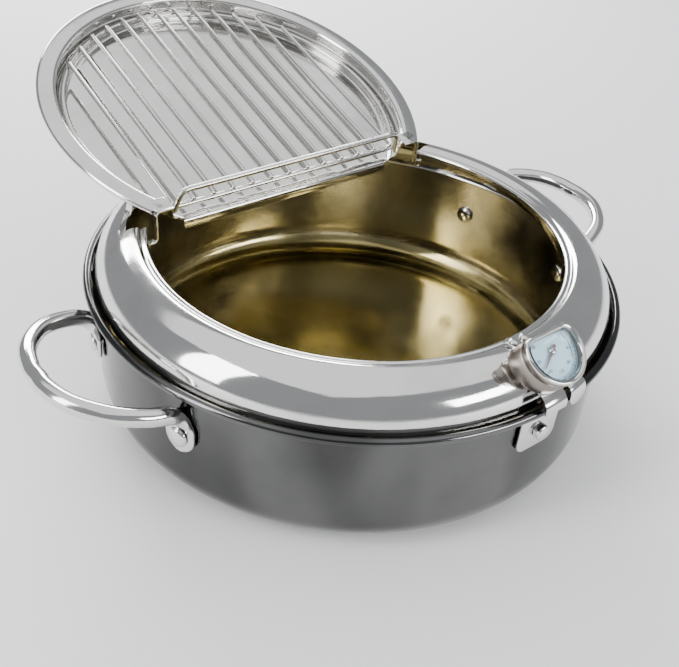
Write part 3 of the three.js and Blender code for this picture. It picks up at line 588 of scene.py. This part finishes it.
print("paints:", dial_enamel.name, dial_print.name, needle_paint.name, gauge_glass.name)

# %% Hand a finished piece over


def hand_over(piece, finish, body, slot, *nodes):
    """Gives a piece its finish, its body and the nodes that it stands for. The slot argument is not used."""
    piece.data.materials.clear()
    piece.data.materials.append(finish)
    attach(piece, body)
    if nodes:
        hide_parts(*nodes)
    print(piece.name, len(piece.data.polygons), "faces, rides on", body)
    return piece


def on_wall(azimuth, height, radius):
    """A frame on the pot's wall: local Z points outwards and local Y up. 0 degrees is the front."""
    return (Matrix.Rotation(math.radians(azimuth), 4, "Z")
            @ Matrix.Translation(Vector((0, -radius, height)) * MM)
            @ Matrix.Rotation(math.pi / 2, 4, "X"))


print("pieces can be handed over")

# %% [markdown]
# ## Pot
# The pot is drawn from one disc of steel: a flat floor, a generous bend, a straight wall, a
# short flare that seats the ring, and a rolled rim. One half section, spun, gives all of it.

# %% Pot shell
RIM_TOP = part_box("pot_body")[1][2] / MM
pot_section = [(0, FLOOR), (20, FLOOR), (60, FLOOR), (100, FLOOR)]
pot_section += arc(WALL - BEND, FLOOR + BEND, BEND, BEND, -90, 0, 14)
pot_section += [(WALL, 34), (WALL, 50), (WALL, RIM_TOP - 6.2)]
pot_section += rounded([(WALL, RIM_TOP - 5.6), (WALL + 0.12, RIM_TOP - 5.2),
                        (WALL + 2.4, RIM_TOP - 1.5)], 1)
pot_section += arc(WALL + 3.8, RIM_TOP - 1.9, 1.4, 1.4, 150, -40, 14)
pot_shell = smooth(sheet(spun("pot_shell", pot_section, 224), 1, 0.35))
hand_over(pot_shell, pot_steel, "pot", "polished_steel", "pot_body")

# %% [markdown]
# The base is a sandwich: an aluminium core that spreads the heat, closed by a steel cap that an
# induction hob can heat. Shallow turned grooves on the cap keep it flat when it is hot.

# %% Base cap
cap_section = [(0, 0.4), (16, 0.4)]
for groove in (18, 42, 66, 88):
    cap_section += [(groove, 0.4), (groove + 0.5, 0.75), (groove + 1.6, 0.75), (groove + 2.1, 0.4)]
cap_section += rounded([(94, 0.4), (99.9, 0.4), (101, 1.6), (101, 3.5)], 1.4)
base_plate = smooth(sheet(spun("base_plate", cap_section), 0.8, 0.2))
hand_over(base_plate, satin_steel, "pot", "satin_steel", "base_cap")

# %% [markdown]
# ## Handles
# Each handle is a rod whose two ends are pressed flat into rounded tongues and riveted to the
# wall. Half a handle is lofted from the tip of its tongue to the middle of the grip, with rings
# that turn from flat to round, and Mirror makes the other half.

# %% Handles
RIVET_Z = 44.5
ROD = 3.9
GRIP_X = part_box("handle_right")[1][0] / MM - ROD - 0.15
LUG_X, LUG_Y = 122.6 * math.cos(math.radians(17.5)), 122.6 * math.sin(math.radians(17.5))
outward = Vector((LUG_X, LUG_Y, 0)).normalized()
half_line = [
    (LUG_X, LUG_Y, RIVET_Z - 7.9), (LUG_X, LUG_Y, RIVET_Z), (LUG_X + 0.1, LUG_Y, RIVET_Z + 6.2),
    (LUG_X + 1.5, LUG_Y + 0.4, RIVET_Z + 10), (LUG_X + 5.5, LUG_Y + 1.3, RIVET_Z + 13.6),
    (LUG_X + 14, LUG_Y + 0.8, RIVET_Z + 16.4), (GRIP_X - 15, LUG_Y - 4.2, RIVET_Z + 19.7),
    (GRIP_X - 4, LUG_Y - 17, RIVET_Z + 21.6), (GRIP_X, LUG_Y - 31, RIVET_Z + 22), (GRIP_X, 0, RIVET_Z + 22)]
grip_line = spline(half_line, 8)[:-1] + [Vector(half_line[-1])]
grip_widths = []
travel = 0
for i, p in enumerate(grip_line):
    travel += (p - grip_line[i - 1]).length if i else 0
    tip = min(1, (travel + 0.25) / 7.5)
    tongue = 7.5 * math.sqrt(max(0, 1 - (1 - tip) ** 2))
    flat = max(0, min(1, (travel - 10.5) / 10))
    flat = flat * flat * (3 - 2 * flat)
    grip_widths.append((tongue * (1 - flat) + ROD * flat, 1.2 * (1 - flat) + ROD * flat,
                        0.45 + 0.55 * flat))
grip_rings = wire_rings(grip_line, grip_widths, outward.cross(Vector((0, 0, 1))), sides=28)
handle = lofted("handle_grip_right", grip_rings)
edit_all(handle)
bpy.ops.mesh.bisect(plane_co=(0, 0.00001, 0), plane_no=(0, 1, 0), clear_inner=True)
bpy.ops.object.mode_set(mode="OBJECT")
modify(handle, "MIRROR", use_axis=(False, True, False), merge_threshold=0.0001)
smooth(handle, 60)
other_handle = copied(handle, "handle_grip_left")
place(other_handle, Matrix.Rotation(math.pi, 4, "Z"))
hand_over(handle, polished_steel, "pot", "polished_steel", "handle_right")
hand_over(other_handle, polished_steel, "pot", "polished_steel", "handle_left")

# %% [markdown]
# A rivet is spun from one section: a broad dome outside, the shank, and a dome inside the pot.
# One is made and the other three are copies, each turned to its own place on the wall.

# %% Handle rivets


def rivet_section(shank, head, dome, inner, outer):
    outside = arc(0, outer + 0.35, head, dome - 0.35, 90, 0, 10) + [(head, outer)]
    inside = [(head, inner)] + arc(0, inner - 0.35, head, dome - 0.35, 0, -90, 10)
    return outside + [(shank, outer), (shank, inner)] + inside


first_rivet = spun("rivet_right_front", rivet_section(2.3, 4.8, 2.2, -0.9, 3.6), 40)
smooth(broken(first_rivet, 0.12, 60, 2))
places = {"right_front": 72.5, "right_rear": 107.5, "left_rear": -107.5, "left_front": -72.5}
rivets = {name: first_rivet if name == "right_front" else copied(first_rivet, f"rivet_{name}")
          for name in places}
for name, azimuth in places.items():
    place(rivets[name], on_wall(azimuth, RIVET_Z, WALL))
    hand_over(rivets[name], polished_steel, "pot", "polished_steel", f"handle_rivet_{name}")

# %% [markdown]
# At the front a small plate is riveted under the rim with a stud. The plate is a rectangle whose
# two lower corners are rounded with a vertex bevel, then extruded to its thickness.

# %% Stop plate and stud
deselect()
bpy.ops.mesh.primitive_plane_add(size=MM)
stop = named("stop_plate_front")
edit_all(stop)
bpy.ops.transform.resize(value=(22, 17, 1))
select_verts(stop, lambda co: co.y < 0)
bpy.ops.mesh.bevel(offset=5 * MM, segments=8, affect="VERTICES")
bpy.ops.mesh.select_all(action="SELECT")
bpy.ops.mesh.extrude_region_move(TRANSFORM_OT_translate={"value": (0, 0, 1.2 * MM)})
leave_edit()
smooth(broken(stop, 0.35, 50, 3))
place(stop, on_wall(0, 63.3 - 8.5, 121.4))
hand_over(stop, polished_steel, "pot", "polished_steel", "stop_plate")

stud_section = arc(0, 4.7, 3.5, 1.3, 90, 0, 10) + [(3.5, 2.6), (3.2, 2.4), (2.8, 2.4), (2.8, -0.9)]
stud_section += [(3.84, -0.9)] + arc(0, -1.1, 3.84, 1.3, 0, -90, 8)
stud = smooth(spun("stop_stud_front", stud_section, 36))
place(stud, on_wall(0, 55.65, WALL))
hand_over(stud, polished_steel, "pot", "polished_steel", "stop_stud")

# %% [markdown]
# ## Splash ring
# The ring is a spun sheet: a convex band that rises from the pot's rim to a crest, falls to a
# small rolled bead, and ends in a skirt round the mouth. Two cutters then shape it: half a drum
# for the rear notch, where the tray drips into the pot, and a block for the opening under the
# thermometer, where its holder and the probe's neck sink in.

# %% Splash ring
CREST = 103.0
BAND = 17.6           # from the crest out to the foot
MOUTH = 96.8
FOOT_Z, CREST_Z = 67.43, 87.0
ring_section = arc(CREST, FOOT_Z, BAND, CREST_Z - FOOT_Z, 0, 90, 36)
ring_section += rounded([(102.2, 86.96), (100.9, 86.5), (99.5, 85.25), (98, 85.75), (97, 85.1),
                         (MOUTH, 83.6), (MOUTH, 80.8)], 1.0, 6)
ring_shell = spun("ring_shell", ring_section, 240)
modify(ring_shell, "SOLIDIFY", thickness=0.8 * MM, offset=0, use_even_offset=True)


def d_outline(radius, flat, corner=3.0, steps=72, eased=7):
    """A round outline with one flat, at +Y, whose two corners are eased."""
    half, shift = math.acos(flat / radius), corner / radius
    first, last = math.pi / 2 + half + shift, 2.5 * math.pi - half - shift
    angles = [first + (last - first) * i / steps for i in range(steps + 1)]
    points = [Vector((radius * math.cos(a), radius * math.sin(a))) for a in angles]
    reach = flat * math.tan(half)
    for corner_at, a, b in (
            (Vector((reach, flat)), points[-1], Vector((reach - corner, flat))),
            (Vector((-reach, flat)), Vector((corner - reach, flat)), points[0])):
        for i in range(1 if a is points[-1] else 0, eased + (1 if b is not points[0] else 0)):
            t = i / eased
            points.append(a * (1 - t) ** 2 + corner_at * 2 * t * (1 - t) + b * t ** 2)
    return [tuple(p) for p in points]


def d_shape(name, levels, radius, flat, corner=3.0, around=False):
    """A D-shaped piece from (inset, height) levels."""
    rings = []
    for inset, z in levels:
        outline = d_outline(radius - inset, flat - inset, max(corner - inset * 0.5, 0.6))
        rings.append([(x, y, z) for x, y in outline])
    return lofted(name, rings, around)


HEAD_RADIUS, HEAD_Z, HEAD_TILT = 121.0, 96.0, math.radians(36)
HEAD = Matrix.Translation(Vector((0, -HEAD_RADIUS, HEAD_Z)) * MM) @ Matrix.Rotation(HEAD_TILT, 4, "X")
NOTCH_Y = 51.3
deselect()
bpy.ops.mesh.primitive_cylinder_add(vertices=240, radius=106.3 * MM, depth=60 * MM,
                                    location=(0, 0, CREST_Z * MM))
drum = named("notch_cutter")
edit_all(drum)
bpy.ops.mesh.bisect(plane_co=(0, NOTCH_Y * MM, 0), plane_no=(0, 1, 0), clear_inner=True, use_fill=True)
leave_edit()
deselect()
bpy.ops.mesh.primitive_cube_add(size=MM)
opening = named("opening_cutter")
edit_all(opening)
bpy.ops.transform.resize(value=(13.4, 16.4, 60))
bpy.ops.transform.translate(value=(0, -0.4 * MM, 13.5 * MM))
bpy.ops.object.mode_set(mode="OBJECT")
cut(ring_shell, drum, place(opening, HEAD))
smooth(broken(ring_shell, 0.28, 55, 3), 38)
hand_over(ring_shell, polished_steel, "splash_ring", "polished_steel", "splash_ring")

# %% [markdown]
# ## Thermometer holder and lift tab
# Both are bent strips: an edge extruded along the path that the press tool gives it. The tab's
# hanging end is rounded with a vertex bevel before the strip gets its thickness.

# %% Holder, its rivets and the lift tab


def head_point(y, z):
    p = HEAD @ Vector((0, y * MM, z * MM)) / MM
    return (-p.y, p.z)


holder_start = head_point(7.7, -14.3)
rivet_radius = holder_start[0] - 3.3
holder_path = rounded([
    (rivet_radius - 3, 88.2), (holder_start[0] - 0.9, 88.2), holder_start,
    head_point(-13.8, -14.3), (126.7, 74.2), (127.9, 72.2), (127.9, 69.5)], 2.2, 6)
holder = strip("gauge_holder", [(0, -r, z) for r, z in holder_path], (12, 0, 0))
modify(holder, "SOLIDIFY", thickness=MM, offset=0, use_even_offset=True)
deselect()
bpy.ops.mesh.primitive_cylinder_add(vertices=48, radius=4.4 * MM, depth=6 * MM,
                                    location=(0, 0, -14.3 * MM))
neck_cutter = named("neck_cutter")
bpy.ops.object.transform_apply(location=True, rotation=True, scale=True)
cut(holder, place(neck_cutter, HEAD))
smooth(broken(holder, 0.28, 50, 3))
hand_over(holder, polished_steel, "splash_ring", "polished_steel", "thermometer_holder")

small_section = rivet_section(1.3, 2, 0.9, 86.0, 89.0)
for i, x in enumerate((-3, 3), 1):
    small = smooth(spun(f"holder_pin_{i}", small_section, 24))
    place(small, Matrix.Translation(Vector((x, -rivet_radius, 0)) * MM))
    hand_over(small, polished_steel, "splash_ring", "polished_steel", f"holder_rivet_{i}")

off = 0.4 + 0.3 + 0.45
high, low = (arc(CREST, FOOT_Z, BAND, CREST_Z - FOOT_Z, a, a, 1)[0] for a in (38, 22))
tab_path = rounded([(high[0] + off * 0.75, high[1] + off * 0.75), (low[0] + off * 0.95, low[1] + off * 0.55),
                    (125.8, 75.4), (127.4, 72.8), (127.4, 66)], 1.8, 6)
tab = strip("lift_tab", [(0, -r, z) for r, z in tab_path], (10, 0, 0))
lowest = min(v.co.z for v in tab.data.vertices)
edit_all(tab)
select_verts(tab, lambda co: co.z < lowest + 0.0001)
bpy.ops.mesh.bevel(offset=4.8 * MM, segments=10, affect="VERTICES")
bpy.ops.object.mode_set(mode="OBJECT")
smooth(sheet(tab, 0.9, 0.25))
place(tab, Matrix.Rotation(math.radians(6.6), 4, "Z"))
hand_over(tab, polished_steel, "splash_ring", "polished_steel", "ring_lift_tab")

# %% [markdown]
# ## Thermometer
# The head is D-shaped, so it is lofted from D outlines at several heights instead of spun. The
# bezel is a closed loop of such outlines, with a soft crown that catches the light.

# %% Bezel, case and glass
bezel = d_shape("gauge_bezel", [
    (2.1, -3.6), (2.1, -1.4), (1.95, -0.75), (1.6, -0.3), (1.1, -0.05), (0.75, 0), (0.4, -0.12),
    (0.12, -0.45), (0, -0.95), (0, -3.1), (0.15, -3.45), (0.5, -3.6)], 14.5, 8.2, 3.4, around=True)
place(smooth(bezel, 50), HEAD)
hand_over(bezel, polished_steel, "thermometer", "polished_steel", "thermometer_bezel")
bezel.data.materials.append(case_steel)
for face in bezel.data.polygons:
    depth = (HEAD.inverted() @ face.center).z / MM
    face.material_index = 1 if depth < -1.6 else 0

case = d_shape("gauge_case", [
    (1.5, -12.2), (1.2, -11.8), (1.2, -4.1), (1.1, -3.95), (0.15, -3.95), (0, -4.1), (0, -12.2),
    (0.2, -13.0), (0.8, -13.5)], 14.3, 8.0, 3.3)
place(smooth(case, 50), HEAD)
hand_over(case, case_steel, "thermometer", "polished_steel", "thermometer_case")

pane = d_shape("gauge_glass_pane", [(0.25, -1.5), (0, -1.35), (0, -0.65), (0.25, -0.5)], 12.1, 5.8, 2.2)
place(smooth(pane, 30), HEAD)
hand_over(pane, gauge_glass, "thermometer", "glass", "dial_glass")

# %% [markdown]
# The probe is a spun tube with a thicker neck that plugs into the holder's sleeve.

# %% Probe
probe_section = [(0, -73.5)] + arc(0, -72.1, 2.2, 1.4, -90, 0, 8)[1:]
probe_section += rounded([(2.2, -60), (2.2, -19.4), (2.8, -18.9), (4, -18.4), (4, -13.8),
                          (0, -13.8)], 0.3, 3)
probe = smooth(spun("probe_stem", probe_section, 40))
place(probe, HEAD)
hand_over(probe, polished_steel, "thermometer", "polished_steel", "probe_tube")

# %% [markdown]
# The dial's scale runs clockwise from just above the right, round the bottom, to the left of the
# flat: one degree of turn for one degree of heat, from 0 to 240. Each tick is made by the same
# small function. Only plain numbers are printed.

# %% Dial
DIAL_TOP = -3.9
face = d_shape("dial_face", [(0.1, -4.5), (0, -4.4), (0, -4.0), (0.1, DIAL_TOP)], 12.8, 6.5, 2.5)
place(smooth(face, 30), HEAD)
hand_over(face, dial_enamel, "thermometer", "dial", "dial_plate")


def dial_angle(heat):
    return math.radians(30 - heat)


def on_dial(heat, radius):
    """A frame on the dial, whose local X points outwards along a heat's direction."""
    return Matrix.Rotation(dial_angle(heat), 4, "Z") @ Matrix.Translation(Vector((radius, 0, 0)) * MM)


def dial_arc(radius, last, step):
    """Points along the scale, from 0 degrees of heat to the last, just above the enamel."""
    return [(radius * math.cos(dial_angle(heat)), radius * math.sin(dial_angle(heat)), DIAL_TOP + 0.03)
            for heat in range(0, last + 1, step)]


def tick(name, length, width):
    deselect()
    bpy.ops.mesh.primitive_plane_add(size=MM)
    mark = named(name)
    edit_all(mark)
    bpy.ops.transform.resize(value=(length, width, 1))
    bpy.ops.mesh.extrude_region_move(TRANSFORM_OT_translate={"value": (0, 0, 0.05 * MM)})
    leave_edit()
    return mark


marks = []
for heat in range(0, 241, 8):
    long = heat % 40 == 0
    mark = tick(f"tick_{heat}", 1.7 if long else 0.9, 0.22 if long else 0.12)
    lift = Matrix.Translation((0, 0, (DIAL_TOP + 0.02) * MM))
    place(mark, on_dial(heat, 11.0 if long else 11.4) @ lift)
    marks.append(mark)
scale_line = strip("scale_line", dial_arc(11.95, 240, 4), (0, 0, 0.06))
marks.append(modify(scale_line, "SOLIDIFY", thickness=0.16 * MM, offset=0))
working = strip("working_band", dial_arc(9.9, 63, 3), (0, 0, 0.05))
marks.append(modify(working, "SOLIDIFY", thickness=0.34 * MM, offset=0))
for spot, heat in zip(dial_arc(8.5, 240, 40), range(0, 241, 40)):
    deselect()
    bpy.ops.object.text_add()
    label = bpy.context.object
    label.data.body = str(heat)
    label.data.align_x, label.data.align_y = "CENTER", "CENTER"
    label.data.size, label.data.extrude = 2.0 * MM, 0.02 * MM
    bpy.ops.object.convert(target="MESH")
    place(label, Matrix.Translation(Vector(spot) * MM))
    marks.append(label)
scale_print = joined("scale_print", *marks)
place(scale_print, HEAD)
hand_over(scale_print, dial_print, "thermometer", "dial")

# %% Pointer
needle_rings = wire_rings(
    [(x, 0, -3.05) for x in (-3.2, -2.9, 0, 5, 9.1, 9.2)],
    [(0.5, 0.1, 1), (0.72, 0.2, 0.8), (0.62, 0.25, 0.8), (0.42, 0.22, 0.8), (0.2, 0.16, 0.8),
     (0.05, 0.05, 1)], (0, 1, 0), sides=12)
needle = smooth(lofted("gauge_needle", needle_rings))
COLD = 214            # where the needle rests, in degrees round the dial
place(needle, HEAD @ Matrix.Rotation(math.radians(COLD), 4, "Z"))
hand_over(needle, needle_paint, "pointer", "needle", "pointer")
cap_dome = [(0, -3.45), (1.2, -3.45), (1.55, -3.3), (1.6, -3.0)] + arc(0, -2.75, 1.35, 0.6, 0, 90, 8)
needle_cap = smooth(spun("needle_cap", cap_dome, 32))
place(needle_cap, HEAD)
hand_over(needle_cap, polished_steel, "pointer", "needle")

# %% [markdown]
# ## Drip tray
# The tray is a shallow spun dish, cut straight across and hung over the pot's rear edge at a
# tilt. It is spun round its own axis, bisected along the straight edge, and only then given its
# thickness, so the cut edge gets the same broken edge as the rest.

# %% Tray dish
TRAY_TILT = math.radians(16.4)
TRAY_Y, TRAY_Z = 49.797, 94.447
CHORD = 57.94         # straight edge to the dish's centre
TRAY = Matrix.Translation(Vector((0, TRAY_Y, TRAY_Z)) * MM) @ Matrix.Rotation(TRAY_TILT, 4, "X")
dish_section = [(0, -12.6), (15, -12.58), (30, -12.5), (47, -12.4), (66, -12.2)]
dish_section += rounded([(80, -12.05), (84.1, -12), (86.1, -11.2), (86.7, -9.5), (89.1, -9.5),
                         (90.5, -0.8), (91.6, 0), (95, 0)], 1.3, 6)
dish_section += arc(97.9, -1.2, 1.2, 1.2, 90, -60, 12)
dish = spun("tray_dish", dish_section, 224)
place(dish, Matrix.Translation((0, CHORD * MM, 0)))
edit_all(dish)
bpy.ops.mesh.bisect(plane_co=(0, 0, 0), plane_no=(0, 1, 0), clear_inner=True)
bpy.ops.object.mode_set(mode="OBJECT")
sheet(dish, 0.8, 0.28)
place(dish, TRAY)
print("tray dish:", len(dish.data.polygons), "faces")

# %% [markdown]
# Along the straight edge a lip bends down so that drips fall into the pot. At each corner the
# flange carries an ear, which hooks out under the ring's skirt, and a foot that stands on the
# crest. Each is a bent strip; the right-hand ones are made and mirrored.

# %% Lip, corners, ears and feet
lip_path = [(0, y, z) for y, z in rounded([(4, -12.45), (0.3, -12.5), (-1.15, -16.9)], 1.6, 6)]
lip = place(sheet(strip("tray_lip", lip_path, (123.4, 0, 0)), 0.7, 0.25), TRAY)
EAR_X, EAR_Y, HOOK_Z = 79.04, 48.797, 78.8
flange = TRAY_Z - 0.4
ear_path = rounded([(EAR_X - 9, flange), (EAR_X - 1.2, flange), (EAR_X, flange - 1.4),
                    (EAR_X, HOOK_Z + 1.2), (EAR_X + 1.2, HOOK_Z), (EAR_X + 4, HOOK_Z),
                    (EAR_X + 4.8, HOOK_Z - 1.2)], 1.2, 5)
ear = sheet(strip("tray_ear", [(x, EAR_Y, z) for x, z in ear_path], (0, 3, 0)), 0.8, 0.22)
foot_y = TRAY_Y + 13
foot_x = math.sqrt(95 ** 2 - (CHORD - 13) ** 2)
nearest = math.hypot(foot_x + 1.6, foot_y - 2.5) - CREST
toe = FOOT_Z + (CREST_Z - FOOT_Z) * math.sqrt(1 - (nearest / BAND) ** 2) + 1.1
top = TRAY_Z + 13 * math.tan(TRAY_TILT) - 0.5
foot_path = rounded([(foot_x - 4, top), (foot_x - 0.5, top - 0.4), (foot_x + 1.6, toe + 0.8),
                     (foot_x + 3.2, toe)], 1.4, 5)
foot = sheet(strip("tray_foot", [(x, foot_y, z) for x, z in foot_path], (0, 5, 0)), 0.8, 0.22)
corner_plan = [(69.7, 3), (EAR_X - 9, -2.5), (EAR_X - 1.4, -2.5), (EAR_X + 0.6, 0.6),
               (EAR_X - 0.6, 6), (71, 6)]
corner = lofted("tray_corner", [[(x, y, z) for x, y in corner_plan] for z in (-0.4, 0.4)])
place(broken(corner, 0.22), TRAY)
parts = [dish, lip]
for part in (ear, foot, corner):
    twin = copied(part, part.name + "_left")
    place(twin, Matrix.Diagonal((-1, 1, 1, 1)))
    edit_all(twin)
    leave_edit()
    parts += [part, twin]
tray_shell = smooth(joined("tray_shell", *parts), 38)
hand_over(tray_shell, polished_steel, "drip_tray", "polished_steel", "drip_tray")

# %% [markdown]
# ## Wire rack
# A round wire frame follows the dish's step, thirteen cross wires lie on it, and a low guard
# wire along the straight edge keeps the food from sliding into the pot. Every wire is lofted
# along its line, with its ends domed.

# %% Rack frame and guard
RACK_R, RACK_Y, RACK_Z = 86.4, 5.0, -7.3
RACK_HALF = math.sqrt(RACK_R ** 2 - (CHORD - RACK_Y) ** 2)


def domed_wire(name, line, radius, across, sides=14):
    """A round wire along a line, with eased ends inside the line's own length."""
    line = [Vector(p) for p in line]
    first, last = (line[1] - line[0]).normalized(), (line[-2] - line[-1]).normalized()
    ends = [(0.0, 0.35), (0.12, 0.7), (0.4, 0.93)]
    head = [(line[0] + first * radius * d, radius * w) for d, w in ends]
    tail = [(line[-1] + last * radius * d, radius * w) for d, w in reversed(ends)]
    whole = head + [(line[0] + first * radius, radius)] + [(p, radius) for p in line[1:-1]]
    whole += [(line[-1] + last * radius, radius)] + tail
    widths = [(w, w, 1) for p, w in whole]
    return smooth(lofted(name, wire_rings([p for p, w in whole], widths, across, sides)), 50)


open_angle = math.degrees(math.acos((CHORD - RACK_Y) / RACK_R))
round_part = arc(0, CHORD, RACK_R, RACK_R, open_angle - 90, 270 - open_angle, 96)
loop = [Vector((x, y, RACK_Z)) for x, y in rounded(round_part[-2:] + round_part[:-1], 5, 4)]
plan = [loop[0]]
for p in loop[1:]:
    if min((p - plan[-1]).length, (p - loop[0]).length) > 0.4:
        plan.append(p)
frame_rings = wire_rings(plan, [(1.5, 1.5, 1)] * len(plan), (0, 0, 1), 14, closed=True)
rack_rim = lofted("rack_rim", frame_rings, around=True)
place(smooth(rack_rim, 60), TRAY)
hand_over(rack_rim, wire_steel, "rack", "wire_steel", "rack_frame")

guard_y = RACK_Y - 1.5 - 1.4 - 0.3
half, top = RACK_HALF - 1, RACK_Z + 13
side_line = [(-half, guard_y, RACK_Z + 0.4), (-half + 1.2, guard_y, RACK_Z + 6.5),
             (-half + 3, guard_y, top - 1.2), (-half + 6.5, guard_y, top), (-half + 12, guard_y, top)]
guard_line = spline(side_line + [(-x, y, z) for x, y, z in reversed(side_line)], 7)
guard = place(domed_wire("rack_guard_wire", guard_line, 1.4, (0, 1, 0)), TRAY)
hand_over(guard, wire_steel, "rack", "wire_steel", "rack_guard")

# %% Rack bars
BAR_Z, BARS = -4.4, 13
pitch = 2 * (RACK_HALF - 2) / (BARS - 1)
for i in range(BARS):
    x = -RACK_HALF + 2 + pitch * i
    far = CHORD + math.sqrt(RACK_R ** 2 - x ** 2) + 0.8
    line = [(x, RACK_Y - 1.2 + (far - RACK_Y + 1.2) * t / 6, BAR_Z) for t in range(7)]
    bar = place(domed_wire(f"rack_wire_{i + 1:02d}", line, 1.1, (1, 0, 0), 12), TRAY)
    hand_over(bar, wire_steel, "rack", "wire_steel", f"rack_bar_{i + 1:02d}")

# %% [markdown]
# ## Pieces that keep their engineering shape
# The sleeve, the spindle, the coil inside the probe and the core inside the base are right as
# they are and mostly out of sight. They only get their finish.

# %% Finishes for the kept nodes
for name, finish in (("base_core", core_aluminium), ("holder_sleeve", polished_steel),
                     ("bimetal_coil", bimetal), ("pointer_spindle", wire_steel)):
    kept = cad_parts[name]
    for slot in kept.material_slots:
        slot.material = finish
    print(name, "keeps its mesh, finish", finish.name)

# %% [markdown]
# ## Floor and light
# A plain pale floor, and plain soft studio light. Polished metal shows its surroundings more
# than itself, so the lights are large soft panels with darker room between them: the panels
# draw the bright bands round the ring, and the gaps draw the dark ones.

# %% Floor
deselect()
bpy.ops.mesh.primitive_plane_add(size=6, location=(0, 0, -0.0002))
floor = named("studio_floor")
pale = bpy.data.materials.new("pale_floor")
pale.use_nodes = True
pale_shader = pale.node_tree.nodes["Principled BSDF"]
pale_shader.inputs["Base Color"].default_value = (0.93, 0.93, 0.93, 1)
pale_shader.inputs["Roughness"].default_value = 0.7
pale_shader.inputs["Specular IOR Level"].default_value = 0.2
floor.data.materials.append(pale)

# %% Lights


def panel(name, at, size, power, aim=(0, 0, 0.05)):
    deselect()
    bpy.ops.object.light_add(type="AREA", location=at)
    light = bpy.context.object
    light.name = name
    light.data.shape = "RECTANGLE"
    light.data.size, light.data.size_y = size
    light.data.energy = power
    direction = Vector(aim) - Vector(at)
    light.rotation_euler = direction.to_track_quat("-Z", "Y").to_euler()
    return light


panel("key_panel", (0.40, 1.05, 0.62), (0.9, 0.35), 20)
panel("left_panel", (-0.95, 0.10, 0.55), (0.35, 0.9), 10)
panel("ceiling_panel", (0.1, 0.1, 2.0), (3.2, 3.2), 32, aim=(0.1, 0.1001, 0))
panel("front_panel", (0.35, -0.95, 0.45), (0.7, 0.25), 8)
world = bpy.data.worlds.new("studio_room")
world.use_nodes = True
world.node_tree.nodes["Background"].inputs["Color"].default_value = (0.93, 0.96, 1, 1)
world.node_tree.nodes["Background"].inputs["Strength"].default_value = 0.40
bpy.context.scene.world = world
